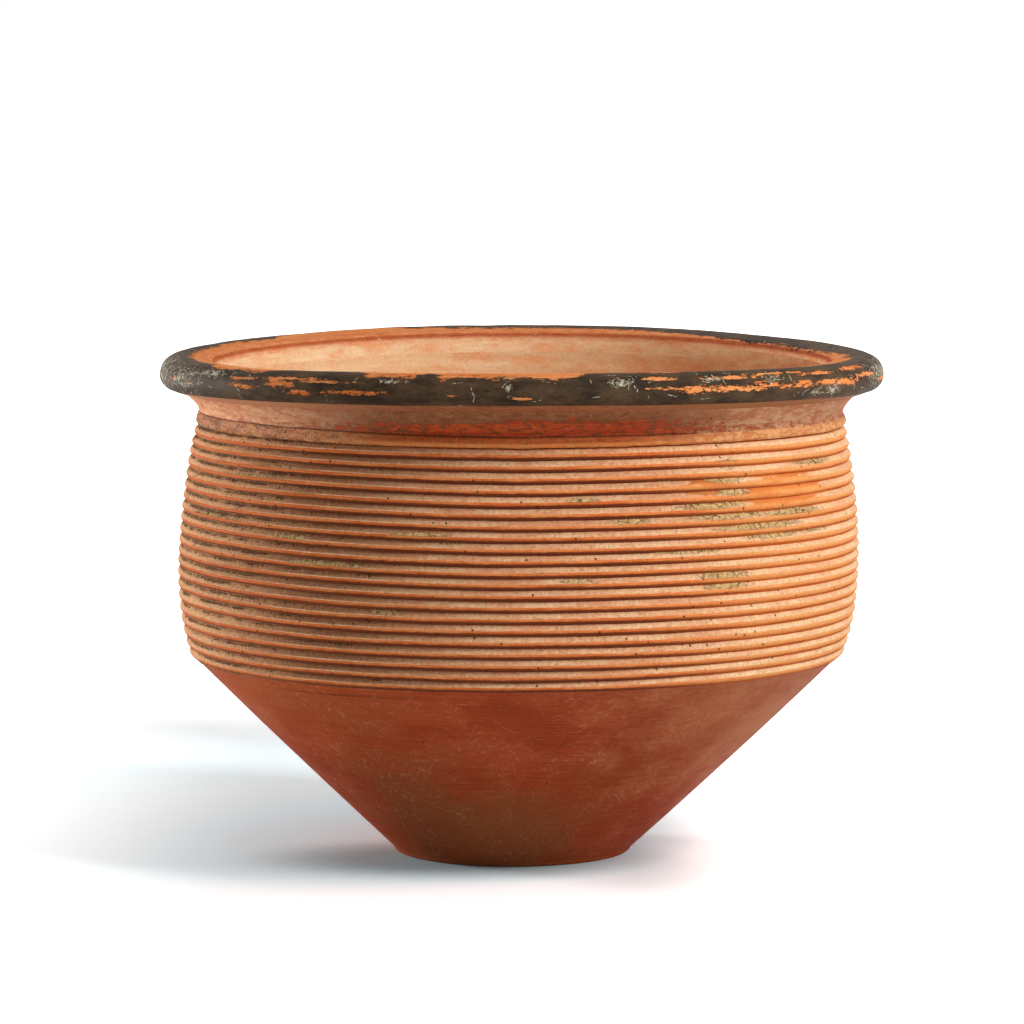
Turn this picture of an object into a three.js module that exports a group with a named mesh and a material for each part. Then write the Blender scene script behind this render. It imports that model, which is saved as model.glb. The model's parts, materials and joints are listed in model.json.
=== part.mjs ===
// A large ribbed pottery bowl, raised by hand from a disc and rings of coiled clay.
//
// The vessel is modelled as its maker put it together. A disc with an upturned edge is the floor,
// plain coils make the lower cone, fluted coils make the belly, and a collar and a thick rim
// close it. Each coil is one closed ring, and seats on the slanted top edge of the one below.
// Millimetres, +Z up. The origin is on the ground, under the centre of the rim.

import * as THREE from 'three';
import { mergeVertices } from 'three/addons/utils/BufferGeometryUtils.js';

// General
const FACETS = 40; // flat faces round the vessel
const JOINT_GAP = 0.3; // clearance between a coil and the one it seats on

// Foot, floor and lower cone
const FOOT_RADIUS = 52.8;
const FOOT_EDGE_HEIGHT = 1.8;
const FLOOR_THICKNESS = 10;
const FLOOR_JOINT_HEIGHT = 12; // outer end of the joint round the floor disc
const SHOULDER_RADIUS = 142.6;
const SHOULDER_HEIGHT = 88.3;
const CONE_SWELL = 0.8; // how far the cone stands out from a straight line
const CONE_WALL = 9.5; // measured square to the wall
const CONE_COILS = 4;
const CONE_JOINT_RISE = 12; // a joint's inner end stands this much higher than its outer end

// Fluted belly
const BELLY_RADIUS = 150.7; // over the ribs, at the widest
const WIDEST_RISE = 38.2; // from the shoulder up to the widest rib
const SHOULDER_LEDGE = 0.5; // how far the lowest rib stands out over the cone
const RIB_PITCH = 4.78;
const RIB_FULL_SHARE = 0.27; // of the pitch, from a rib's lower groove up to where it is full
const RIB_FADING_SHARE = 0.64; // and up to where it begins to fall off
const RIB_FULL_CUT = 0.08; // how far the tool has cut the rib down there
const RIB_FADING_CUT = 0.16;
const GROOVE_DEPTH = 1.3;
const BELLY_COIL_RIBS = [4, 5, 4, 4, 4]; // ribs on each belly coil, from the bottom
const BELLY_WALL = 9.5; // from the rib crests to the inside
const BELLY_JOINT_RISE = 7;
const BELLY_LOWER_POWER = 2.3; // how late the curve below the widest rib sets in
const BELLY_UPPER_POWER = 1.9;
const CORNER_BLEND = 12; // rounding between the cone and the belly, inside

// Neck
const NECK_HEIGHT = 17.1;
const WAIST_RISE = 7.7; // from the neck's foot up to its narrowest line
const FLARE_RISE = 10.6; // and up to where the flare sets in
const NECK_WALL = 8.4; // at the waist
const NECK_FLARE = 6; // from the waist out to the joint under the rim
const BEAD_HEIGHT = 4.3; // low bead at the neck's foot
const BEAD_STANDOUT = 1.5; // from the waist out to the bead
const BEAD_CROWN = 0.9; // how far the bead's curve is pulled out beyond that

// Rim
const RIM_RADIUS = 159.5;
const RIM_OVERHANG = 11.4; // from the joint out to the rim's edge
const RIM_HEIGHT = 16.2; // from the joint up to the crest
const RIM_EDGE_RISE = 8; // from the joint up to the widest line
const RIM_UNDERSIDE_RISE = 3; // how much the underside climbs outwards
const UNDERSIDE_INSET = 2.8; // from the rim's edge in to the underside's outer end
const EDGE_ROUND = 3; // from the widest line down to where the edge turns under
const ROUND_SHARE = 0.6; // fullness of the quarter round from the edge to the crest
const CREST_INSET = 8.5; // from the rim's edge in to the crest
const CREST_FLAT = 4; // level part of the crest, inwards
const RIM_JOINT_RISE = 5;
const LEDGE_DROP = 5.3; // from the crest down to the ledge inside the mouth
const LEDGE_WIDTH = 2.2;
const LEDGE_STEP = 1.2; // how far the ledge falls towards the throat
const THROAT_STEP = 0.4; // what is left of the ledge where the throat begins
const THROAT_DROP = 6; // from the ledge down to there

// Unevenness of the hand-built shape
const FOOT_LEAN = 4.1; // the foot stands this far to the left of the rim's centre
const LEAN_POWER = 1.3;
const RIBS_SIDE_FALL = 1.5; // the ribs run down to the left and up to the right
const RIBS_FRONT_RISE = 1.2; // and up to the front
const RIBS_SADDLE = 0.6; // and are high at front and back, low at both sides
const RIM_FRONT_FALL = 1; // the rim runs down to the front
const RIM_SADDLE = 1.5;
const CALM_SHARE = 0.28; // share of the ribs' unevenness that the shoulder edge has

// Levels and radii that follow from the sizes above
const ribCount = BELLY_COIL_RIBS.reduce((sum, ribs) => sum + ribs, 0);
const widestHeight = SHOULDER_HEIGHT + WIDEST_RISE;
const neckHeight = SHOULDER_HEIGHT + ribCount * RIB_PITCH;
const rimJointHeight = neckHeight + NECK_HEIGHT;
const crestHeight = rimJointHeight + RIM_HEIGHT;
const neckTopRadius = RIM_RADIUS - RIM_OVERHANG;
const waistRadius = neckTopRadius - NECK_FLARE;
const beadRadius = waistRadius + BEAD_STANDOUT;
const throatRadius = waistRadius - NECK_WALL;
const crestRadius = RIM_RADIUS - CREST_INSET;
const coneSlope = (SHOULDER_RADIUS - FOOT_RADIUS) / (SHOULDER_HEIGHT - FOOT_EDGE_HEIGHT);
const coneWallAcross = CONE_WALL * Math.hypot(1, coneSlope);

const point = (radius, height) => new THREE.Vector2(radius, height);

// Outside of the cone: a straight flank that swells a little halfway up.
function coneOutside(height) {
  const share = (height - FOOT_EDGE_HEIGHT) / (SHOULDER_HEIGHT - FOOT_EDGE_HEIGHT);
  const swell = 4 * CONE_SWELL * Math.max(0, share * (1 - share));
  return FOOT_RADIUS + coneSlope * (height - FOOT_EDGE_HEIGHT) + swell;
}

// A barrel curve that is widest at widestHeight and drawn in towards both of its ends.
function barrel(height, widest, bottom, top) {
  if (height < widestHeight) {
    const share = Math.min(1, (widestHeight - height) / WIDEST_RISE);
    return widest - (widest - bottom) * share ** BELLY_LOWER_POWER;
  }
  const share = Math.min(1, (height - widestHeight) / (neckHeight - widestHeight));
  return widest - (widest - top) * share ** BELLY_UPPER_POWER;
}

const ribCrests = (height) =>
  barrel(height, BELLY_RADIUS, SHOULDER_RADIUS + SHOULDER_LEDGE + GROOVE_DEPTH, beadRadius);

const grooveFloor = (height) => ribCrests(height) - GROOVE_DEPTH;

const bellyInside = (height) =>
  barrel(height, BELLY_RADIUS - BELLY_WALL, SHOULDER_RADIUS - BELLY_WALL, throatRadius);

// Inside of the whole vessel: cone and belly run into each other with a rounded corner.
function inside(height) {
  const cone = coneOutside(height) - coneWallAcross;
  const belly = bellyInside(height);
  const blend = Math.max(0, 1 - Math.abs(cone - belly) / CORNER_BLEND);
  return Math.min(cone, belly) - (blend * blend * CORNER_BLEND) / 4;
}

// A slanted joint, from its outer end on one surface to its inner end on the inside wall.
function joint(outside, height, rise) {
  return {
    outside,
    outer: point(outside(height), height),
    inner: point(inside(height + rise), height + rise),
  };
}

// The same joint as the lower face of the coil above it, with both ends slid up their surface
// until the two faces lie the clearance apart.
function seatOn({ outside, outer, inner }) {
  const across = inner.clone().sub(outer).normalize();
  const away = point(across.y, -across.x);
  const slide = (end, surface) => {
    const up = point(surface(end.y + 1) - surface(end.y), 1).normalize();
    return end.clone().addScaledVector(up, JOINT_GAP / up.dot(away));
  };
  return { outer: slide(outer, outside), inner: slide(inner, inside) };
}

// Points on a surface between two heights, both ends left out.
function between(surface, from, to, steps) {
  const heights = Array.from({ length: steps - 1 }, (_, i) => from + ((to - from) * (i + 1)) / steps);
  return heights.map((height) => point(surface(height), height));
}

// The flutes between two grooves: each rib is fullest below its middle and rounds off upwards.
function ribs(firstGroove, count) {
  const points = [];
  for (let i = 0; i < count; i++) {
    const groove = firstGroove + i * RIB_PITCH;
    const full = groove + RIB_FULL_SHARE * RIB_PITCH;
    const fading = groove + RIB_FADING_SHARE * RIB_PITCH;
    if (i > 0) points.push(point(grooveFloor(groove), groove));
    points.push(point(ribCrests(full) - RIB_FULL_CUT, full));
    points.push(point(ribCrests(fading) - RIB_FADING_CUT, fading));
  }
  return points;
}

// How far a level takes part in the ribs' and in the rim's unevenness, from 0 to 1. The ground
// and the floor stay flat.
function ribsShare(height) {
  const calm = CALM_SHARE * THREE.MathUtils.smoothstep(height, 0, SHOULDER_HEIGHT);
  const rise = THREE.MathUtils.smoothstep(height, SHOULDER_HEIGHT, widestHeight);
  const fade = 1 - THREE.MathUtils.smoothstep(height, neckHeight, rimJointHeight);
  return (calm + (1 - calm) * rise) * fade;
}

const rimShare = (height) => THREE.MathUtils.smoothstep(height, neckHeight, rimJointHeight);

// Moves every point of a true round shape to where it lies on the hand-built one.
function unevenly(geometry) {
  const position = geometry.getAttribute('position');
  const place = new THREE.Vector3();
  for (let i = 0; i < position.count; i++) {
    place.fromBufferAttribute(position, i);
    const right = place.x / BELLY_RADIUS;
    const back = place.y / BELLY_RADIUS;
    const saddle = back * back - right * right;
    const ribsLift = RIBS_SIDE_FALL * right - RIBS_FRONT_RISE * back + RIBS_SADDLE * saddle;
    const rimLift = RIM_FRONT_FALL * back + RIM_SADDLE * saddle;
    const lean = FOOT_LEAN * Math.max(0, 1 - place.z / crestHeight) ** LEAN_POWER;
    const lift = ribsShare(place.z) * ribsLift + rimShare(place.z) * rimLift;
    position.setXYZ(i, place.x - lean, place.y, place.z + lift);
  }
  return geometry;
}

// Turns an outline round the vessel's axis into one closed body.
function turned(name, outline, color, roughness) {
  const round = new THREE.LatheGeometry(outline, FACETS).rotateX(Math.PI / 2);
  round.deleteAttribute('normal');
  round.deleteAttribute('uv');
  const geometry = unevenly(mergeVertices(round, 1e-3));
  geometry.computeVertexNormals();
  const material = new THREE.MeshStandardMaterial({ color, roughness, metalness: 0 });
  const mesh = new THREE.Mesh(geometry, material);
  mesh.name = name;
  return mesh;
}

// A ring of clay between the joint that it seats on and the joint on its top.
function coil(name, lower, upper, outline, color, roughness) {
  const seat = seatOn(lower);
  const innerWall = between(inside, upper.inner.y, seat.inner.y, 3);
  const loop = [seat.outer, ...outline, upper.outer, upper.inner, ...innerWall, seat.inner];
  return turned(name, [...loop, seat.outer], color, roughness);
}

function baseDisc(top) {
  const floorRadius = inside(FLOOR_THICKNESS);
  const outline = [
    point(0, 0),
    point(FOOT_RADIUS, 0),
    point(FOOT_RADIUS, FOOT_EDGE_HEIGHT),
    top.outer,
    top.inner,
    point(floorRadius, FLOOR_THICKNESS),
    point(0, FLOOR_THICKNESS),
  ];
  return turned('base_disc', outline, 0x7a3f22, 0.6);
}

function neckCollar(bottom, top) {
  const waistHeight = neckHeight + WAIST_RISE;
  const flareHeight = neckHeight + FLARE_RISE;
  const bead = new THREE.Path().moveTo(grooveFloor(neckHeight), neckHeight);
  const beadMiddle = neckHeight + BEAD_HEIGHT / 2;
  bead.quadraticCurveTo(beadRadius + BEAD_CROWN, beadMiddle, waistRadius, waistHeight);
  const flare = new THREE.Path().moveTo(waistRadius, waistHeight);
  flare.quadraticCurveTo(waistRadius, flareHeight, neckTopRadius, rimJointHeight);
  const outline = [...bead.getPoints(5).slice(1), ...flare.getPoints(4).slice(1, -1)];
  return coil('neck_collar', bottom, top, outline, 0x93563a, 0.65);
}

// The rim's outline, from the joint out along its underside, round its edge, over the crest,
// down the slope inside the mouth to the ledge, and down the throat.
function rimLip(bottom) {
  const seat = seatOn(bottom);
  const edgeHeight = rimJointHeight + RIM_EDGE_RISE;
  const ledgeHeight = crestHeight - LEDGE_DROP;
  const roundedHeight = edgeHeight + ROUND_SHARE * (crestHeight - edgeHeight);
  const roundedRadius = crestRadius + ROUND_SHARE * CREST_INSET;
  const slopeFoot = throatRadius + 2 * LEDGE_WIDTH;
  const path = new THREE.Path().moveTo(seat.outer.x, seat.outer.y);
  path.lineTo(RIM_RADIUS - UNDERSIDE_INSET, rimJointHeight + RIM_UNDERSIDE_RISE);
  path.quadraticCurveTo(RIM_RADIUS, edgeHeight - EDGE_ROUND, RIM_RADIUS, edgeHeight);
  path.bezierCurveTo(
    RIM_RADIUS,
    roundedHeight,
    roundedRadius,
    crestHeight,
    crestRadius,
    crestHeight,
  );
  path.quadraticCurveTo(crestRadius - CREST_FLAT, crestHeight, slopeFoot, ledgeHeight);
  path.lineTo(throatRadius + LEDGE_WIDTH, ledgeHeight - LEDGE_STEP);
  path.lineTo(throatRadius + THROAT_STEP, ledgeHeight - THROAT_DROP);
  const outline = path.getPoints(4);
  return turned('rim_lip', [...outline, seat.inner, seat.outer], 0x3a3029, 0.7);
}

// The joints, from the floor disc up. Those of the belly lie in grooves.
const coneCoilHeight = (SHOULDER_HEIGHT - FLOOR_JOINT_HEIGHT) / CONE_COILS;
const coneJoints = Array.from({ length: CONE_COILS }, (_, i) =>
  joint(coneOutside, FLOOR_JOINT_HEIGHT + i * coneCoilHeight, CONE_JOINT_RISE),
);
const shoulderJoint = {
  ...joint(coneOutside, SHOULDER_HEIGHT, BELLY_JOINT_RISE),
  outside: grooveFloor,
};

const vessel = new THREE.Group();
vessel.add(baseDisc(coneJoints[0]));

coneJoints.forEach((lower, i) => {
  const upper = coneJoints[i + 1] ?? shoulderJoint;
  const flank = between(coneOutside, lower.outer.y, upper.outer.y, 2);
  vessel.add(coil(`cone_coil_${i + 1}`, lower, upper, flank, 0x9a4423, 0.5));
});

let below = shoulderJoint;
let groove = SHOULDER_HEIGHT;
BELLY_COIL_RIBS.forEach((count, i) => {
  const above = joint(grooveFloor, groove + count * RIB_PITCH, BELLY_JOINT_RISE);
  vessel.add(coil(`belly_coil_${i + 1}`, below, above, ribs(groove, count), 0xbd7a52, 0.8));
  groove += count * RIB_PITCH;
  below = above;
});

const rimJoint = joint(() => neckTopRadius, rimJointHeight, RIM_JOINT_RISE);
vessel.add(neckCollar(below, rimJoint));
vessel.add(rimLip(rimJoint));

export default vessel;
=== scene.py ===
# %% [markdown]
# # A ribbed pottery bowl
#
# This lesson dresses a large hand-built bowl: a flat foot, a burnished cone, a belly fluted with
# fine ribs, a short dusty neck and a thick painted rim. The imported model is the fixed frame. It
# holds every coil of clay as a plain faceted ring. Each ring is replaced here by a fine mesh of
# the same size in the same place, and gets a clay of its own.

# %% The fixed frame
import json
import math

import bpy
import numpy as np
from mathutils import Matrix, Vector


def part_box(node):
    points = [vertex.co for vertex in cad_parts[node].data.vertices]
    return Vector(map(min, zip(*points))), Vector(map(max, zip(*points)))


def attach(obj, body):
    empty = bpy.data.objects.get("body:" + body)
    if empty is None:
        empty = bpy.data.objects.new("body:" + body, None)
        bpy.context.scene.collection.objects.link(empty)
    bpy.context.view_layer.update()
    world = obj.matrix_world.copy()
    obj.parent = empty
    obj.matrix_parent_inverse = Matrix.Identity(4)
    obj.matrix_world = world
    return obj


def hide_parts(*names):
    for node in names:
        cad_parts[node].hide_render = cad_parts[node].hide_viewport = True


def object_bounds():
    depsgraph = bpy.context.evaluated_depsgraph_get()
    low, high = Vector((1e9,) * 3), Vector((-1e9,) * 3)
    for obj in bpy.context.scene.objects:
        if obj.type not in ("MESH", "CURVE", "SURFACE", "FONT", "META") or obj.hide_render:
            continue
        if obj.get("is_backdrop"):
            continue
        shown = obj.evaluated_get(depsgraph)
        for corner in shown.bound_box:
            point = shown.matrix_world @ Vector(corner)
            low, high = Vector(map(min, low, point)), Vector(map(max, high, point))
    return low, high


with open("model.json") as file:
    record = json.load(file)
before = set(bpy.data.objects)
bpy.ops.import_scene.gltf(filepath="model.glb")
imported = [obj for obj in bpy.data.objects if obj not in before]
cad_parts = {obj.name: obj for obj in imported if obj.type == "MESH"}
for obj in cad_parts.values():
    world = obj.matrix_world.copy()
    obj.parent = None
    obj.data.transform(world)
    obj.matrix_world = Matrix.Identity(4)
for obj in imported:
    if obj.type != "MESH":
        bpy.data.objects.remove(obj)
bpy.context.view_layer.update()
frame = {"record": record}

# %% [markdown]
# ## Sizes
#
# The fine surfaces follow the same driving sizes as the solids, so a reader can set them side by
# side. All of them are millimetres until a mesh is written. The last group is the unevenness of
# the hand: the foot stands off centre, the ribs and the rim run a little out of level, and at the
# left the ribs climb.

# %% Driving sizes, in millimetres
MM = 0.001
FOOT_RADIUS = 52.8
FOOT_EDGE = 1.8
FLOOR_THICKNESS = 10.0
FLOOR_JOINT = 12.0
SHOULDER_RADIUS = 142.6
SHOULDER_HEIGHT = 88.3
CONE_SWELL = 0.8
CONE_WALL = 9.5
CONE_COILS = 4
CONE_JOINT_RISE = 12.0
BELLY_RADIUS = 150.7
WIDEST_RISE = 38.2
SHOULDER_LEDGE = 0.5
RIB_PITCH = 4.78
GROOVE_DEPTH = 1.3
BELLY_COIL_RIBS = (4, 5, 4, 4, 4)
BELLY_WALL = 9.5
BELLY_JOINT_RISE = 7.0
BELLY_LOWER_POWER = 2.3
BELLY_UPPER_POWER = 1.9
CORNER_BLEND = 12.0
NECK_HEIGHT = 17.1
WAIST_RISE = 7.7
NECK_WALL = 8.4
NECK_FLARE = 6.0
BEAD_HEIGHT = 4.3
BEAD_STANDOUT = 1.5
RIM_RADIUS = 159.5
RIM_OVERHANG = 11.4
RIM_HEIGHT = 16.2
RIM_EDGE_RISE = 8.0
RIM_UNDERSIDE_RISE = 3.0
UNDERSIDE_INSET = 2.8
EDGE_ROUND = 3.0
ROUND_SHARE = 0.6
CREST_INSET = 8.5
CREST_FLAT = 4.0
RIM_JOINT_RISE = 5.0
LEDGE_DROP = 1.5
LEDGE_WIDTH = 2.2
LEDGE_STEP = 1.2

FOOT_LEAN = 4.1
LEAN_POWER = 1.3
RIBS_SIDE_FALL = 1.5
RIBS_FRONT_RISE = 1.2
RIBS_SADDLE = 0.6
RIM_FRONT_FALL = 1.0
RIM_SADDLE = 1.5
LEFT_RISE = 5.0
LEFT_POWER = 1.3
LEFT_BLEND = 40.0
LEFT_TOP_BLEND = 14.0
LEFT_TOP_LOSS = 0.3
RIB_SAG = 1.2
CALM_SHARE = 0.28

RIBS = sum(BELLY_COIL_RIBS)
WIDEST_HEIGHT = SHOULDER_HEIGHT + WIDEST_RISE
NECK_BASE = SHOULDER_HEIGHT + RIBS * RIB_PITCH
RIM_BASE = NECK_BASE + NECK_HEIGHT
CREST_HEIGHT = RIM_BASE + RIM_HEIGHT
NECK_TOP_RADIUS = RIM_RADIUS - RIM_OVERHANG
WAIST_RADIUS = NECK_TOP_RADIUS - NECK_FLARE
BEAD_RADIUS = WAIST_RADIUS + BEAD_STANDOUT
THROAT_RADIUS = WAIST_RADIUS - NECK_WALL
CREST_RADIUS = RIM_RADIUS - CREST_INSET
CONE_SLOPE = (SHOULDER_RADIUS - FOOT_RADIUS) / (SHOULDER_HEIGHT - FOOT_EDGE)
CONE_ACROSS = CONE_WALL * math.hypot(1, CONE_SLOPE)
print(f"{RIBS} ribs from {SHOULDER_HEIGHT:.1f} to {NECK_BASE:.1f} mm, crest at {CREST_HEIGHT:.1f} mm")

# %% [markdown]
# ## Smooth steps and wandering values
#
# A potter's surface is never a formula alone. Two tools give it life: a smooth step, which blends
# from 0 to 1, and a wandering value, which is smooth noise over the wall. The noise is a table of
# random values on rings round the vessel, blended between neighbours, so it closes on itself
# behind the vessel and is the same on every run.

# %% Smooth steps and noise over the wall
AROUND = 960
ANGLE = np.linspace(-np.pi, np.pi, AROUND, endpoint=False)[None, :]


def step(value, low, high):
    """0 below low, 1 above high, and 3t^2 - 2t^3 between them."""
    share = np.clip((value - low) / (high - low), 0, 1)
    return share * share * (3 - 2 * share)


def wander(angle, height, waves, spacing, seed):
    """Noise from -1 to 1: random values, `waves` round a ring and a ring every `spacing` mm,
    blended between the four neighbours with smooth steps."""
    rings = 400
    table = np.random.default_rng(seed).uniform(-1, 1, (rings, waves))
    across = (angle / (2 * np.pi)) % 1 * waves
    up = height / spacing + 40
    left = np.floor(across).astype(int) % waves
    low = np.floor(up).astype(int) % rings
    right = (left + 1) % waves
    high = (low + 1) % rings
    to_right = step(across % 1, 0, 1)
    to_top = step(up % 1, 0, 1)
    lower = table[low, left] * (1 - to_right) + table[low, right] * to_right
    upper = table[high, left] * (1 - to_right) + table[high, right] * to_right
    return lower * (1 - to_top) + upper * to_top


def layered(angle, height, waves, spacing, seed, layers=3):
    """Several wandering values on top of each other, each twice as fine and half as strong."""
    total = 0
    for layer in range(layers):
        fine = 2**layer
        total = total + wander(angle, height, waves * fine, spacing / fine, seed + layer) / fine
    return total / 1.75


probe = wander(np.linspace(0, 2 * np.pi, 500), np.full(500, 50.0), 30, 10, 1)
print(f"noise from {probe.min():.2f} to {probe.max():.2f}, closed to {abs(probe[0] - probe[-1]):.1e}")

# %% [markdown]
# ## The wall's profile
#
# The outside is a straight flank, a barrel curve and a neck, each a radius at a height. The flutes
# were cut with a narrow tool, held level while the vessel was turned by hand. That leaves round
# ribs with sharp grooves between them, fullest a little below their middle. A sine has this
# shape: round at its top and steep at both ends. Bending its argument moves the top down.

# %% Outside and inside, as radii at a height


def cone_outside(height):
    """A straight flank from the foot to the shoulder, with a shallow parabola on it."""
    share = (height - FOOT_EDGE) / (SHOULDER_HEIGHT - FOOT_EDGE)
    swell = 4 * CONE_SWELL * np.maximum(0, share * (1 - share))
    return FOOT_RADIUS + CONE_SLOPE * (height - FOOT_EDGE) + swell


def barrel(height, widest, bottom, top):
    """Widest at WIDEST_HEIGHT, drawn in towards both ends by a power of the distance."""
    below = np.clip((WIDEST_HEIGHT - height) / WIDEST_RISE, 0, 1)
    above = np.clip((height - WIDEST_HEIGHT) / (NECK_BASE - WIDEST_HEIGHT), 0, 1)
    lower_draw = (widest - bottom) * below**BELLY_LOWER_POWER
    upper_draw = (widest - top) * above**BELLY_UPPER_POWER
    return widest - lower_draw - upper_draw


def rib_crests(height):
    lowest = SHOULDER_RADIUS + SHOULDER_LEDGE + GROOVE_DEPTH
    return barrel(height, BELLY_RADIUS, lowest, BEAD_RADIUS)


def inside(height):
    """The cone's and the belly's inner walls, run into each other with a rounded corner."""
    cone = cone_outside(height) - CONE_ACROSS
    belly = barrel(height, BELLY_RADIUS - BELLY_WALL, SHOULDER_RADIUS - BELLY_WALL, THROAT_RADIUS)
    blend = np.maximum(0, 1 - np.abs(cone - belly) / CORNER_BLEND)
    return np.minimum(cone, belly) - blend * blend * CORNER_BLEND / 4


def rib_turn(angle, height):
    """Place within a rib, from 0 at its lower groove to 1 at its upper one. The grooves run a
    little up and down, except the lowest and the highest."""
    drift = 0.3 * wander(angle, height, 11, 2.4 * RIB_PITCH, 31)
    drift = drift + 0.1 * wander(angle, height, 60, 3, 32)
    share = np.clip((height - SHOULDER_HEIGHT) / (NECK_BASE - SHOULDER_HEIGHT), 0, 1)
    sag = RIB_SAG * np.sin(np.pi * share**0.7)
    lower_end = step(height, SHOULDER_HEIGHT, SHOULDER_HEIGHT + RIB_PITCH)
    upper_end = 1 - step(height, NECK_BASE - RIB_PITCH, NECK_BASE)
    ribs_up = (height + sag + drift * lower_end * upper_end - SHOULDER_HEIGHT) / RIB_PITCH
    return np.clip(ribs_up, 0, RIBS) % 1


def rib_fullness(turn):
    """0 in the grooves and 1 on the crest: the sine of pi times turn to the power 0.9."""
    return np.sin(np.pi * turn**0.9) ** 0.9


print("radius at shoulder, widest rib and neck:",
      [round(float(rib_crests(h)), 1) for h in (SHOULDER_HEIGHT, WIDEST_HEIGHT, NECK_BASE)])

# %% [markdown]
# ## From a true round shape to a hand-built one
#
# Every point is first worked out as an angle, a radius and a height on a true round vessel. Then
# one function moves it to where it lies on the uneven real one. The solids went through the same
# function, so the fine pieces lie where their rings lie. Angle 0 is the front, and angles grow
# to the right. The columns begin and end behind the vessel.

# %% Placing a point by angle, radius and height


def leftness(angle):
    """1 at the left side and 0 from the front to the right and at the back."""
    return np.maximum(0, -np.sin(angle)) ** LEFT_POWER


def place(angle, radius, height):
    """x, y and z in millimetres. Levels lift with the sine (side to side), the cosine (front to
    back) and the cosine of twice the angle (saddle), and climb once more at the left. The axis
    leans towards the foot."""
    right = radius * np.sin(angle) / BELLY_RADIUS
    back = -radius * np.cos(angle) / BELLY_RADIUS
    saddle = back * back - right * right
    ribs_lift = RIBS_SIDE_FALL * right - RIBS_FRONT_RISE * back + RIBS_SADDLE * saddle
    rim_lift = RIM_FRONT_FALL * back + RIM_SADDLE * saddle
    calm = CALM_SHARE * step(height, 0, SHOULDER_HEIGHT)
    rise = step(height, SHOULDER_HEIGHT, WIDEST_HEIGHT)
    to_rim = step(height, NECK_BASE, RIM_BASE)
    ribs_share = (calm + (1 - calm) * rise) * (1 - to_rim)
    lean = FOOT_LEAN * np.maximum(0, 1 - height / CREST_HEIGHT) ** LEAN_POWER
    climb = LEFT_RISE * leftness(angle) * step(height, SHOULDER_HEIGHT, SHOULDER_HEIGHT + LEFT_BLEND)
    climb = climb * (1 - step(height, NECK_BASE + 2, RIM_BASE))
    climb = climb * (1 - LEFT_TOP_LOSS * step(height, NECK_BASE - LEFT_TOP_BLEND, NECK_BASE))
    x = BELLY_RADIUS * right - lean
    y = BELLY_RADIUS * back
    z = height + ribs_share * ribs_lift + to_rim * rim_lift + climb
    return np.stack([x, y, z], axis=-1)


front_rim = place(0.0, CREST_RADIUS, CREST_HEIGHT)
print("front of the rim's crest, in mm:", np.round(front_rim, 1))

# %% [markdown]
# ## Patches, dents and cracks
#
# Much of a surface's character is in single events at fixed places: a nick, a dragged spot on the
# ribs, a chip, a flake of lost paint. Each one here is a soft round patch, given by its angle, its
# height and its half sizes. A list of patches can push the wall in or out, or mark where soil lies
# or paint is gone.

# %% Soft patches by angle and height


def patches(angle, height, spots):
    """The strongest of several round bells exp(-d^2), with d the distance in half sizes. A spot
    is its angle in degrees, its height, its half width in degrees and its half height in mm."""
    strongest = np.zeros(np.broadcast(angle, height).shape)
    for degrees, level, half_width, half_height in spots:
        turn = np.degrees((angle - math.radians(degrees) + np.pi) % (2 * np.pi) - np.pi)
        bell = np.exp(-((turn / half_width) ** 2) - ((height - level) / half_height) ** 2)
        strongest = np.maximum(strongest, bell)
    return strongest


# hollows and lumps as angle, height, half width, half height and depth outwards, in mm
DENTS = (
    ((26.2, 194.8, 0.35, 1.5), -1.2),
    ((30.7, 195.0, 0.3, 1.2), -1.0),
    ((34.2, 195.0, 0.3, 1.2), -1.0),
    ((4, 135.4, 4.2, 1.6), 0.5),
    ((8.5, 137.0, 2.6, 1.2), -0.5),
    ((-61.3, 134.5, 1.1, 1.4), 0.6),
    ((-50.2, 131.5, 0.9, 1.2), 0.6),
    ((72, 115.5, 0.8, 1.0), -0.8),
    ((54, 100.0, 0.7, 1.0), -0.8),
    ((65, 95.0, 0.7, 1.0), -0.7),
    ((45.7, 126.8, 1.6, 1.3), 0.6),
    ((-36.5, 7.0, 2.0, 1.5), -1.5),
    ((-21.5, 34.0, 1.3, 1.5), -0.8),
    ((-12, 162.5, 0.8, 1.0), -0.7),
    ((20, 158.0, 1.0, 1.3), -0.5),
    ((-150, 120.0, 1.2, 2.0), -0.9),
    ((120, 60.0, 1.4, 1.8), -1.0),
    ((170, 150.0, 1.0, 1.6), -0.7),
)


def dents(angle, height):
    total = 0
    for spot, depth in DENTS:
        total = total + depth * patches(angle, height, (spot,))
    return total


print(f"{len(DENTS)} dents and lumps")

# %% [markdown]
# ## The outside as one function
#
# The ribs, the neck and the cone are put together into one radius for any angle and height. Under
# the neck's bead runs a crack, where the collar was set on the belly. It is open from the front
# to the right and smeared over elsewhere. A fine crease above the bead does the opposite. Below
# the lowest rib the cut clay left a ragged little ledge.

# %% The outside's radius
CREASE_RISE = 5.2
CREASE_CLIMB = 1.6
CREASE_DEPTH = 0.4
GROOVE_SHARE = 1.3
CRACK_DEPTH = 1.5
CRACK_HALF = 0.3


def fluted(angle, height):
    """The crest line, less the groove's depth where the rib isn't full. The tool went deeper
    under the neck, and here and there."""
    deeper = 0.2 * step(height, 140, 185) + 0.16 * wander(angle, height, 24, 5, 33)
    depth = GROOVE_DEPTH * (GROOVE_SHARE + deeper)
    return rib_crests(height) - depth * (1 - rib_fullness(rib_turn(angle, height)))


def crease_rise(angle):
    return CREASE_RISE + CREASE_CLIMB * leftness(angle)


def crease_open(angle):
    """1 from the left to the front, and 0 at the right, where the crease is wiped over."""
    return 1 - step(np.sin(angle), 0.42, 0.66)


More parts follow.
